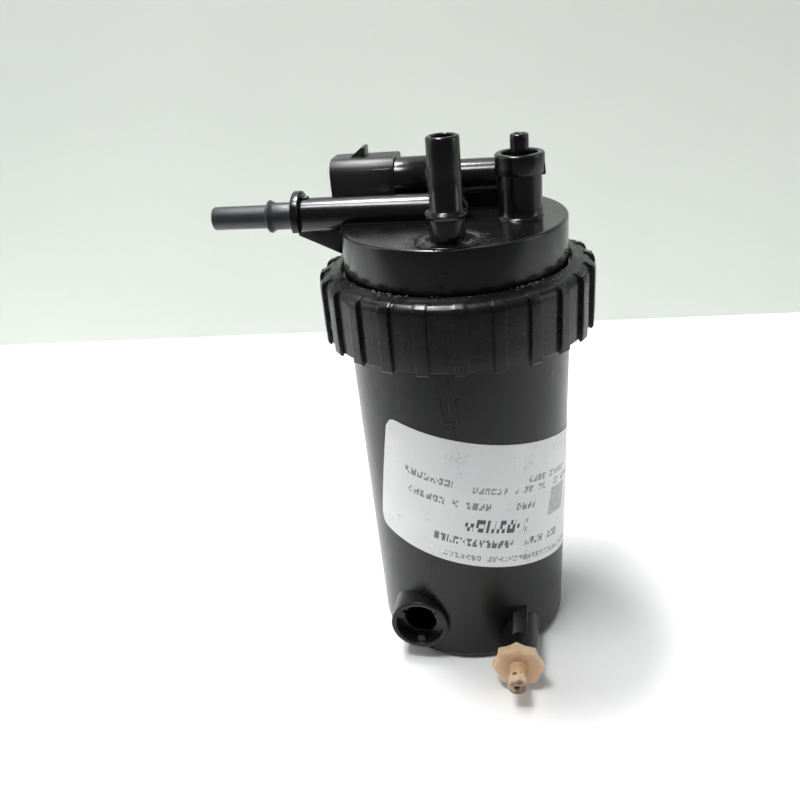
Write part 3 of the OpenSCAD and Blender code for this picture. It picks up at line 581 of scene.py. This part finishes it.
def screwed_ridge(root, crest, wide, narrow, start):
    bpy.ops.object.select_all(action="DESELECT")
    bpy.ops.mesh.primitive_plane_add(size=1, location=(0, 0, 0))
    section = bpy.context.object
    corners = ((root, -wide / 2), (crest, -narrow / 2), (root, wide / 2), (crest, narrow / 2))
    for vertex, (r, h) in zip(section.data.vertices, corners):
        vertex.co = (r * MM, 0, (start + h) * MM)
    edit(section)
    bpy.ops.mesh.select_all(action="SELECT")
    bpy.ops.mesh.delete(type="ONLY_FACE")
    leave()
    apply_modifier(section, "SCREW", angle=math.radians(432), screw_offset=7.2 * MM, steps=144,
                   render_steps=144,
                   axis="Z", use_merge_vertices=False)
    edit(section)
    bpy.ops.mesh.select_non_manifold(extend=False)
    bpy.ops.mesh.fill_holes(sides=4)
    bpy.ops.mesh.select_all(action="SELECT")
    bpy.ops.mesh.normals_make_consistent(inside=False)
    leave()
    smooth(section, 30)
    return section


for piece, name in bowl() + raised_marks() + [(neck_thread(), "neck_thread")]:
    finish_piece(piece, name, "bowl", "bowl_plastic", BOWL,
                 stands_for=("bowl",) if name == "bowl_body" else ())


# ------------------------------------------------------------ screw ring
def screw_ring():
    """The ring with its lip and 24 grip ribs that run over the shoulder. Its thread is made apart."""
    wall, low, lip, high = 45.1, 123.4, 143.8, 145.7
    profile = [(42.1, low + 0.4), (42.4, low), (wall - 0.5, low), (wall, low + 0.4)]
    profile += [(wall, low + 7), (wall, low + 13)] + arc(wall - 3, 144.9 - 3, 3, 0, 84, 7)
    profile += [(41.9, 144.95), (40.2, 145.3), (39.3, 145.7), (38.7, 145.7), (38.5, 145.4), (38.5, lip),
                (42.1, lip), (42.1, low + 0.4)]
    ring = turned(profile, vertices=288)
    sector, first = math.radians(15), math.radians(-82.6)

    def on_rib(c, normal):
        r = math.hypot(c.x, c.y) / MM
        away = (math.atan2(c.y, c.x) - first + sector / 2) % sector - sector / 2
        outward = normal.x * c.x + normal.y * c.y > 0 or normal.z > 0.4
        return abs(away) < math.radians(2.55) and outward and r > 42.5 and c.z / MM > low + 0.1

    ring.rotation_euler = (0, 0, first)
    settle(ring)
    edit(ring)
    take_faces(ring, on_rib)
    bpy.ops.mesh.extrude_region_move(TRANSFORM_OT_translate={"value": (0, 0, 0)})
    bpy.ops.transform.shrink_fatten(value=1.25 * MM)
    leave()
    edit(ring)
    take_faces(ring, lambda c, normal: normal.z > 0.8 and c.z / MM > 145.2 and math.hypot(c.x, c.y) / MM > 42)
    bpy.ops.transform.translate(value=(0, 0, -0.8 * MM))
    leave()
    edit(ring)
    bpy.ops.mesh.select_all(action="SELECT")
    bpy.ops.mesh.normals_make_consistent(inside=False)
    leave()
    rounded_edges(ring, 0.4 * MM, 40, 3)
    smooth(ring, 30)
    return ring


finish_piece(screw_ring(), "screw_ring", "lock_ring", "ring_plastic", RING, stands_for=("lock_ring",))
finish_piece(screwed_ridge(42.5, 40.2, 3.2, 1.2, 126.85), "ring_thread", "lock_ring", "ring_plastic", RING)


# ------------------------------------------------------------ head
def head_parts():
    """The head's body, pad, cross tube with its end plate, gusset and nub, the valve boss and the arrow."""
    body = turned([(0.02, 156.4), (31.3, 156.4), (32.8, 154.9), (32.8, 130), (35, 130), (35.6, 130.6),
                   (35.6, 138.5),
                   (40.4, 138.5), (40.4, 143.1), (40, 143.5), (37.4, 143.5), (37.4, 150)]
                  + arc(36.5, 158.7, 0.9, 0, 90, 6) + [(35.6, TOP - 0.12), (20, TOP - 0.12),
                                                       (0.02, TOP - 0.12)],
                  vertices=256)
    smooth(body, 30)
    pad = turned([(10.5, -0.6), (10.5, 0.1)] + arc(10.2, 0.2, 0.3, 0, 180, 5)
                 + [(9.5, 0.02), (7.4, 0.05), (6.3, 0.35),
                 (5.7, 1.0), (5.4, 2.2), (5.4, -0.6), (10.5, -0.6)], (1.6, -26.7, TOP), "Z", 96)
    smooth(pad, 50)
    tube = turned([(5.7 * math.sin(math.radians(t)) + 0.02, 0.1 - 5.7 * math.cos(math.radians(t)))
                   for t in range(0, 90, 9)] + [(5.72, 0.1), (5.7, 14), (5.7, 30), (5.7, 53.2), (5.5, 53.4),
                  (4.35, 53.4), (4.35, 44.5)], (0, 0, TUBE_Z), "-X", 96)
    smooth(tube, 30)
    plate = turned([(4.35, 50.8), (7.9, 50.8), (8.1, 51), (8.1, 53.2), (7.9, 53.4), (4.35, 53.4),
                    (4.35, 50.8)],
                   (0, 0, TUBE_Z), "-X", 96)
    edit(plate)
    bpy.ops.mesh.select_all(action="SELECT")
    bpy.ops.mesh.bisect(plane_co=(0, 0, (TUBE_Z - 4.2) * MM), plane_no=(0, 0, 1), use_fill=True,
                        clear_inner=True)
    leave()
    rounded_edges(plate, 0.25 * MM, 40, 2)
    smooth(plate)
    gusset = block((-53.1, -1.3, 155.3), (-35.9, 1.3, TUBE_Z),
                   lambda x, y, z: (0, 0, -8.2) if x > -36 and z < 156 else None)
    rounded_edges(gusset, 0.35 * MM, 25, 3)
    smooth(gusset)
    nub = block((-50.9, -1.2, TUBE_Z + 4), (-47.6, 1.2, TUBE_Z + 6.3),
                lambda x, y, z: (-0.9, 0, 0) if x > -48 and z > 168 else None)
    rounded_edges(nub, 0.35 * MM, 25, 3)
    smooth(nub)
    boss = turned([(8.6, TOP - 0.5), (7.7, TOP + 0.1), (7.2, TOP + 0.8), (7.05, TOP + 2), (7.05, 173.1),
                   (5.2, 173.1),
                   (5.2, 158), (8.6, TOP - 0.5)], (22, 0, 0), "Z", 96)
    smooth(boss, 30)
    arrow = []
    for a, b in (((-1.9, 4.7), (1.9, 4.7)), ((-1.9, 4.7), (0, 0)), ((1.9, 4.7), (0, 0))):
        middle, span = ((a[0] + b[0]) / 2, (a[1] + b[1]) / 2), (b[0] - a[0], b[1] - a[1])
        length = math.hypot(*span)
        stroke = block((-length / 2, -0.35, -0.16), (length / 2, 0.5, 0.16))
        stroke.rotation_euler = (0, -math.atan2(span[1], span[0]), 0)
        stroke.location = Vector((middle[0], -37.25, RIM + 9.3 + middle[1])) * MM
        settle(stroke)
        arrow.append(stroke)
    arrow = together(*arrow)
    rounded_edges(arrow, 0.08 * MM, 30, 2)
    smooth(arrow)
    return [(body, "head_body"), (pad, "spigot_pad"), (tube, "cross_tube"), (plate, "tube_end_plate"),
            (gusset, "tube_gusset"), (nub, "tube_nub"), (boss, "valve_boss"), (arrow, "closing_arrow")]


for piece, name in head_parts():
    finish_piece(piece, name, "head", "head_plastic", HEAD,
                 stands_for=("head",) if name == "head_body" else ())


def spigots():
    top = turned([(3.45, 157.3), (4.9, 157.3), (5.5, 159.9), (5.5, 166.6), (5.8, 166.9), (6.2, 167.1)]
                 + arc(5.9, 168.1, 0.6, -50, 50, 4) + [(5.2, 169.2), (4.945, 169.6), (4.945, 180)]
                 + arc(4.145, 189.6, 0.8, 0, 90, 5) + arc(3.95, 189.9, 0.5, 90, 180, 4) + [(3.45, 170),
                                                                                           (3.45, 157.3)],
                 (1.6, -27.8, 0), "Z", 96)
    smooth(top, 40)
    side = turned([(2.645, 44.8), (3.945, 44.8), (3.945, 53.4), (4.545, 53.5), (4.545, 60.5), (4.8, 60.9)]
                  + arc(4.9, 62.3, 0.6, -60, 60, 4) + [(4.2, 63.3), (3.945, 63.5), (3.945, 74)]
                  + arc(3.245, 82.1, 0.7, 0, 90, 5) + arc(3.045, 82.4, 0.4, 90, 180, 4) + [(2.645, 70),
                                                                                           (2.645, 44.8)],
                  (0, 0, TUBE_Z), "-X", 96)
    smooth(side, 40)
    return top, side


top_spigot, side_spigot = spigots()
finish_piece(top_spigot, "top_spigot_turned", "head", "head_plastic", HEAD, stands_for=("top_spigot",))
finish_piece(side_spigot, "side_spigot_turned", "head", "spigot_plastic", SPIGOT, stands_for=("side_spigot",))


def return_valve():
    """The valve's cap with its collar and latch, and the return nozzle."""
    base = 173.1
    cap = turned([(5.65, base), (7.85, base)] + arc(7.75, base + 0.2, 0.2, -90, 0, 2)
                 + [(7.95, base + 3.2)] + arc(7.15, base + 5.5, 0.8, 0, 90, 5) + arc(6.25, base + 5.8, 0.5,
                                                                                     90, 180, 4)
                 + [(5.75, base + 1.85), (3.2, base + 1.85), (3.2, base), (5.65, base)], (22, 0, 0), "Z", 128)
    rounded_edges(cap, 0.2 * MM, 40, 2)
    smooth(cap, 35)
    latch = block((22 + 6.6, -2, base - 0.8), (22 + 8.25, 2, base + 4.4),
                  lambda x, y, z: (-0.5, 0, 0) if z > 175 and x > 30 else None)
    rounded_edges(latch, 0.4 * MM, 25, 3)
    smooth(latch)
    nozzle = turned([(1.4, base + 1), (2.95, base + 1), (2.95, base + 8.6), (3.0, base + 9.6)]
                    + arc(2.35, base + 11.3, 0.6, 0, 90, 5) + [(1.8, base + 11.9), (1.4, base + 11.5),
                                                               (1.4, base + 1)],
                    (22, 0, 0), "Z", 64)
    smooth(nozzle, 40)
    return cap, latch, nozzle


def valve_spring():
    """A wire section wound five turns between the plunger and the nozzle's foot."""
    low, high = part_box("valve_spring")
    wire = 0.35 * MM
    bpy.ops.object.select_all(action="DESELECT")
    bpy.ops.mesh.primitive_circle_add(vertices=12, radius=wire, rotation=(math.radians(90), 0, 0),
                                      location=((high.x - low.x) / 2 - wire, 0, low.z + wire))
    spring = bpy.context.object
    settle(spring)
    apply_modifier(spring, "SCREW", angle=math.radians(1800), screw_offset=high.z - low.z - 2 * wire,
                   steps=180,
                   render_steps=180, axis="Z", use_merge_vertices=False)
    edit(spring)
    bpy.ops.mesh.select_non_manifold(extend=False)
    bpy.ops.mesh.fill_holes(sides=12)
    bpy.ops.mesh.select_all(action="SELECT")
    bpy.ops.mesh.normals_make_consistent(inside=False)
    leave()
    spring.location.x = (low.x + high.x) / 2
    settle(spring)
    smooth(spring, 50)
    return spring, high


spring, spring_top = valve_spring()
finish_piece(spring, "valve_spring_coil", "head", "steel", STEEL, stands_for=("valve_spring",))
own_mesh(spring)
cap, latch, nozzle = return_valve()
finish_piece(cap, "valve_cap_collar", "head", "head_plastic", HEAD, stands_for=("valve_cap",))
finish_piece(latch, "valve_cap_latch", "head", "head_plastic", HEAD)
finish_piece(nozzle, "return_nozzle_turned", "head", "head_plastic", HEAD, stands_for=("return_nozzle",))


def heater():
    """The heater's barrel behind the spigot, on its webs, with its end plug."""
    barrel = turned([(4.4, 20.4), (7.4, 20.4), (7.6, 20.2), (7.6, 9.9), (7.2, 9.4), (5.9, 8.6), (5.9, -14),
                     (4.4, -14),
                     (4.4, 20.4)], (0, 15, 169.2), "-X", 96)
    smooth(barrel, 40)
    webs = [block((-20.4, 10, TOP - 0.4), (-12.4, 20, 168)),
            block((-6.4, 11.5, TOP - 0.4), (20.5, 18.5, 168),
                  lambda x, y, z: (0, 0, -2.5) if x > 0 and z > 160 else None),
            block((-8.4, 14, 169.2), (-6.8, 16, 176.4)),
            block((2, 17, TOP - 0.4), (6.4, 24.6, 172.6),
                  lambda x, y, z: (0, 0, -2.5) if y > 24 and z > 172 else None)]
    webs = together(*webs)
    rounded_edges(webs, 0.5 * MM, 25, 3)
    smooth(webs)
    plug = turned([(0.02, -16.8), (4.2, -16.8), (4.6, -16.6), (5.8, -15.6), (5.9, -15.4), (5.9, -14),
                   (0.02, -14)],
                  (0, 15, 169.2), "-X", 96)
    smooth(plug, 40)
    return barrel, webs, plug


barrel, webs, plug = heater()
finish_piece(barrel, "heater_barrel", "head", "head_plastic", HEAD, stands_for=("heater_housing",))
finish_piece(webs, "heater_webs", "head", "head_plastic", HEAD)
finish_piece(plug, "heater_plug", "head", "head_plastic", SHELL, stands_for=("heater_end_plug",))
shell = moulded_copy("connector_shell", 0.3 * MM)
finish_piece(shell, "connector_moulding", "head", "head_plastic", SHELL, stands_for=("connector_shell",))


# ------------------------------------------------------------ drain screw
def drain():
    """The hand wheel with eight soft lobes, the stem, and the outlet nozzle with its holes."""
    x, z, face = DRAIN_PLACE
    wheel = turned([(2.2, 0), (8.9, 0), (9.3, 0.5), (9.3, 3.2), (8.9, 3.7), (7.5, 3.8), (5.4, 3.45),
                    (2.2, 3.4), (2.2, 0)],
                   vertices=160)
    for vertex in wheel.data.vertices:
        r, a = math.hypot(vertex.co.x, vertex.co.y) / MM, math.atan2(vertex.co.y, vertex.co.x)
        dip = abs(math.sin(4 * (a - math.radians(3.5)))) ** 0.9
        share = max(0.0, (r - 5.2) / 4.1)
        vertex.co.x *= 1 - 0.13 * dip * share
        vertex.co.y *= 1 - 0.13 * dip * share
    wheel.rotation_euler = (math.radians(90), 0, 0)
    wheel.location = Vector((x, -face - 1.5, z)) * MM
    settle(wheel)
    rounded_edges(wheel, 0.3 * MM, 28, 3)
    smooth(wheel, 50)
    stem = turned([(0.02, face - 16), (2.6, face - 16), (3, face - 15.6), (3, face + 1.6),
                   (0.02, face + 1.6)],
                  (x, 0, z), "-Y", 64)
    smooth(stem, 40)
    front = face + 5.3
    nozzle = turned([(0.02, front - 1.5), (2.7, front - 1.5), (3.3, front - 0.2), (2.75, front + 0.5),
                     (2.7, front + 3.8),
                     (3.05, front + 4.5), (3.1, front + 5)] + arc(2.6, front + 8.7, 0.5, 0, 90, 4)
                    + [(1.5, front + 9.2), (1.1, front + 8.9), (1.1, front + 7.4), (0.02, front + 7.4)], (x, 0, z), "-Y", 64)
    carve(nozzle, turned([(0.85, 0.5), (0.85, 6)], (x - 0.9, -front - 5.1, z), "Z", 24),
          turned([(0.45, 0), (0.45, 6)], (x + 1.3, -front - 4.2, z), "Z", 16))
    smooth(nozzle, 40)
    return wheel, stem, nozzle


wheel, stem, nozzle = drain()
finish_piece(wheel, "drain_wheel", "drain_screw", "drain_nylon", DRAIN, stands_for=("drain_screw",))
finish_piece(stem, "drain_stem", "drain_screw", "drain_nylon", DRAIN)
finish_piece(nozzle, "drain_nozzle", "drain_screw", "drain_nylon", DRAIN)


# ------------------------------------------------------------ label
def paper_label():
    """A thin sheet with round corners, wrapped at a slant round the bowl's taper."""
    bowl_low, bowl_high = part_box("bowl")
    wide, high, corner = 90 * MM, 49 * MM, 4 * MM
    bpy.ops.object.select_all(action="DESELECT")
    bpy.ops.mesh.primitive_grid_add(x_subdivisions=72, y_subdivisions=40, size=1)
    sheet = bpy.context.object
    sheet.scale = (wide, high, 1)
    settle(sheet)
    uv = sheet.data.uv_layers[0]
    uv.name = "paper"
    slant, turn = math.radians(-13), math.radians(-66)
    girth = bowl_radius(67.7) * MM

    for vertex in sheet.data.vertices:
        u, v = vertex.co.x, vertex.co.y
        over = max(0.0, abs(u) - wide / 2 + corner) / corner
        limit = high / 2 - corner * (1 - math.sqrt(max(0.0, 1 - over * over)))
        v = v / (high / 2) * limit
        z = 67.7 * MM + u * math.sin(slant) + v * math.cos(slant)
        a = turn + (u * math.cos(slant) - v * math.sin(slant)) / girth
        r = bowl_radius(z / MM) * MM + 0.06 * MM
        vertex.co = (r * math.cos(a), r * math.sin(a), z)
    for loop in sheet.data.loops:
        vertex = sheet.data.vertices[loop.vertex_index].co
        a = (math.atan2(vertex.y, vertex.x) - turn) * girth
        up = vertex.z - 67.7 * MM
        u = a * math.cos(slant) + up * math.sin(slant)
        v = -a * math.sin(slant) + up * math.cos(slant)
        uv.data[loop.index].uv = (u / wide + 0.5, v / high + 0.5)
    apply_modifier(sheet, "SOLIDIFY", thickness=0.12 * MM, offset=1.0)
    smooth(sheet, 50)
    finish_piece(sheet, "paper_label", "bowl", "label_paper", PAPER, stands_for=("label",))


paper_label()


# ------------------------------------------------------------ sensor port
def port_lugs():
    """Three stops in the port's mouth, each a short wedge grown from a block."""
    x, z, face = PORT[0] * MM, PORT[1] * MM, -PORT[2] * MM
    for n, angle in enumerate((-90, 28, 152)):
        a = math.radians(angle)
        bpy.ops.object.select_all(action="DESELECT")
        bpy.ops.mesh.primitive_cube_add(size=1, location=(0, 0, 0))
        lug = bpy.context.object
        lug.scale = (4.4 * MM, 2.8 * MM, 2.5 * MM)
        settle(lug)
        edit(lug)
        take_faces(lug, lambda c, normal: normal.z < -0.9)
        bpy.ops.transform.resize(value=(0.55, 0.8, 1), center_override=(0, 0, -1 * MM))
        leave()
        lug.location = (x + 7.6 * MM * math.cos(a), face + 2.4 * MM, z + 7.6 * MM * math.sin(a))
        lug.rotation_euler = (0, math.radians(90 - angle), 0)
        settle(lug)
        rounded_edges(lug, 0.4 * MM, 30, 3)
        smooth(lug)
        finish_piece(lug, f"port_lug_{n + 1}", "bowl", "bowl_plastic", BOWL)


port_lugs()


# ------------------------------------------------------------ grit and oil
def scattered(name, count, seed, spot, size, body, slot, material, flatten=0.5):
    """Small lumps scattered over a stretch, joined into one piece."""
    pick_random = random.Random(seed)
    lumps = []
    for n in range(count):
        bpy.ops.object.select_all(action="DESELECT")
        bpy.ops.mesh.primitive_ico_sphere_add(subdivisions=1 if slot != "head_plastic" else 2, radius=1)
        lump = bpy.context.object
        s = pick_random.uniform(*size)
        lump.scale = (s * pick_random.uniform(0.7, 1.4), s * pick_random.uniform(0.7, 1.4), s * flatten)
        lump.location = spot(pick_random, s * flatten)
        lump.rotation_euler = (0, 0, pick_random.uniform(0, 6.28))
        lumps.append(lump)
    nothing_selected()
    for lump in lumps:
        lump.select_set(True)
    bpy.context.view_layer.objects.active = lumps[0]
    bpy.ops.object.join()
    piece = bpy.context.object
    settle(piece)
    smooth(piece, 60)
    return finish_piece(piece, name, body, slot, material)


def ring_grit():
    ring_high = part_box("lock_ring")[1]

    def on_lip(dice, half):
        a = math.radians(dice.choice((dice.gauss(-122, 9), dice.gauss(-45, 8), dice.uniform(-180, 180))))
        r = (38.9 + abs(dice.gauss(0, 1.2))) * MM
        return r * math.cos(a), r * math.sin(a), ring_high.z - 0.08 * MM - max(0, r - 39.6 * MM) * 0.25

    scattered("grit_on_lip", 130, 5, on_lip, (0.12 * MM, 0.34 * MM), "lock_ring", "ring_plastic", GRIT, 0.55)


def oil_on_head():
    top = 159.6 * MM

    def round_pad(dice, half):
        a = math.radians(dice.uniform(150, 400))
        r = (10.9 + abs(dice.gauss(0, 1.3))) * MM
        return 1.6 * MM + r * math.cos(a), -26.6 * MM + r * math.sin(a) * 0.9, top + 0.02 * MM

    scattered("oil_beads_on_head", 26, 8, round_pad, (0.25 * MM, 0.7 * MM), "head", "head_plastic", OIL, 0.22)


ring_grit()
oil_on_head()


# ------------------------------------------------------------ camera, table and light
def camera():
    """A view from above and in front, a little from the right."""
    data = bpy.data.cameras.new("camera")
    data.lens = 37.65
    data.sensor_width = 36
    data.clip_start = 0.01
    cam = bpy.data.objects.new("camera", data)
    bpy.context.scene.collection.objects.link(cam)
    forward = Vector((-0.18538, 0.87441, -0.44838)).normalized()
    up = Vector((-0.00275, 0.45583, 0.89006)).normalized()
    right = forward.cross(up).normalized()
    up = right.cross(forward)
    turn = Matrix((right, up, -forward)).transposed().to_4x4()
    cam.matrix_world = Matrix.Translation((0.03407, -0.2713, 0.2308)) @ turn
    bpy.context.scene.camera = cam


def stage():
    bpy.ops.object.select_all(action="DESELECT")
    bpy.ops.mesh.primitive_plane_add(size=1, location=(0, 0, 0))
    table = bpy.context.object
    table.name = "table"
    table.scale = (4.0, 3.0, 1)
    table.location = (0, -0.6, 0)
    settle(table)
    f = Finish("white_table_with_painted_shade")
    apart = f.new("ShaderNodeSeparateXYZ")
    f.join(f.place, apart.inputs[0])
    white = f.blend(f.spread(f.noise(6, 4), 0.35, 0.65), (0.86, 0.865, 0.87), (0.9, 0.9, 0.9))
    # Towards the camera, from 0.13 m to 0.3 m in front, the table turns dark grey: painted shade standing in for
    # the unlit room on the camera's side, for the object's front faces to reflect.
    f.colour(f.blend(f.spread(apart.outputs[1], -0.13, -0.3), white, (0.24, 0.24, 0.245)))
    f.rough(f.spread(f.noise(12, 4), 0.3, 0.7, 0.42, 0.55))
    table.data.materials.append(f.set(Specular_IOR_Level=0.3))
    bpy.ops.mesh.primitive_plane_add(size=8, location=(0, 0, 0))
    wall = bpy.context.object
    wall.name = "wall"
    f = Finish("pale_wall_with_painted_glow")
    f.colour(f.blend(f.spread(f.noise(2.5, 4), 0.35, 0.65), (0.49, 0.52, 0.485), (0.53, 0.56, 0.52)))
    f.rough(f.spread(f.noise(5, 4), 0.3, 0.7, 0.4, 0.6))
    # The wall glows at its foot, fading to nothing 0.3 m up: a painted glow standing in for light bounced up from
    # the table.
    apart = f.new("ShaderNodeSeparateXYZ")
    f.join(f.place, apart.inputs[0])
    f.join(f.spread(apart.outputs[2], 0.0, 0.3, 0.2, 0.0), f.shader.inputs["Emission Strength"])
    wall.data.materials.append(f.set(Specular_IOR_Level=0.3, Emission_Color=(0.94, 1.0, 0.93, 1)))
    wall.rotation_euler = (math.radians(90), 0, math.radians(4.2))
    wall.location = (0, 0.3, 4)
    settle(wall)


def light(name, place, aim, size, power, colour=(1, 1, 1)):
    data = bpy.data.lights.new(name, "AREA")
    data.shape = "RECTANGLE"
    data.size, data.size_y = size
    data.energy = power
    data.color = colour
    lamp = bpy.data.objects.new(name, data)
    bpy.context.scene.collection.objects.link(lamp)
    lamp.location = place
    lamp.rotation_euler = (Vector(aim) - Vector(place)).to_track_quat("-Z", "Y").to_euler()


def lights():
    world = bpy.data.worlds.new("room")
    bpy.context.scene.world = world
    world.use_nodes = True
    tree = world.node_tree
    apart = tree.nodes.new("ShaderNodeSeparateXYZ")
    tree.links.new(tree.nodes.new("ShaderNodeTexCoord").outputs["Generated"], apart.inputs[0])
    away = tree.nodes.new("ShaderNodeMapRange")
    tree.links.new(apart.outputs[1], away.inputs["Value"])
    away.inputs["From Min"].default_value = -0.5
    away.inputs["From Max"].default_value = 0.6
    ramp = tree.nodes.new("ShaderNodeValToRGB")
    ramp.color_ramp.elements[0].color = (0.13, 0.132, 0.135, 1)
    ramp.color_ramp.elements[1].color = (0.62, 0.65, 0.68, 1)
    tree.links.new(away.outputs[0], ramp.inputs[0])
    tree.links.new(ramp.outputs[0], tree.nodes["Background"].inputs[0])
    tree.nodes["Background"].inputs[1].default_value = 1.0
    light("ceiling_softbox", (-0.2, 0.12, 1.05), (0, 0.02, 0.05), (0.26, 0.18), 10)
    light("front_softbox", (-0.2, -0.3, 1.05), (0, 0, 0.05), (0.36, 0.2), 6.5)
    light("left_softbox", (-0.85, -0.1, 0.45), (0, 0, 0.08), (0.4, 0.7), 1.7)
    light("right_softbox", (0.95, 0.0, 0.4), (0, 0, 0.08), (0.4, 0.6), 1.3)
    bpy.context.scene.view_settings.view_transform = "Standard"


camera()
stage()
lights()
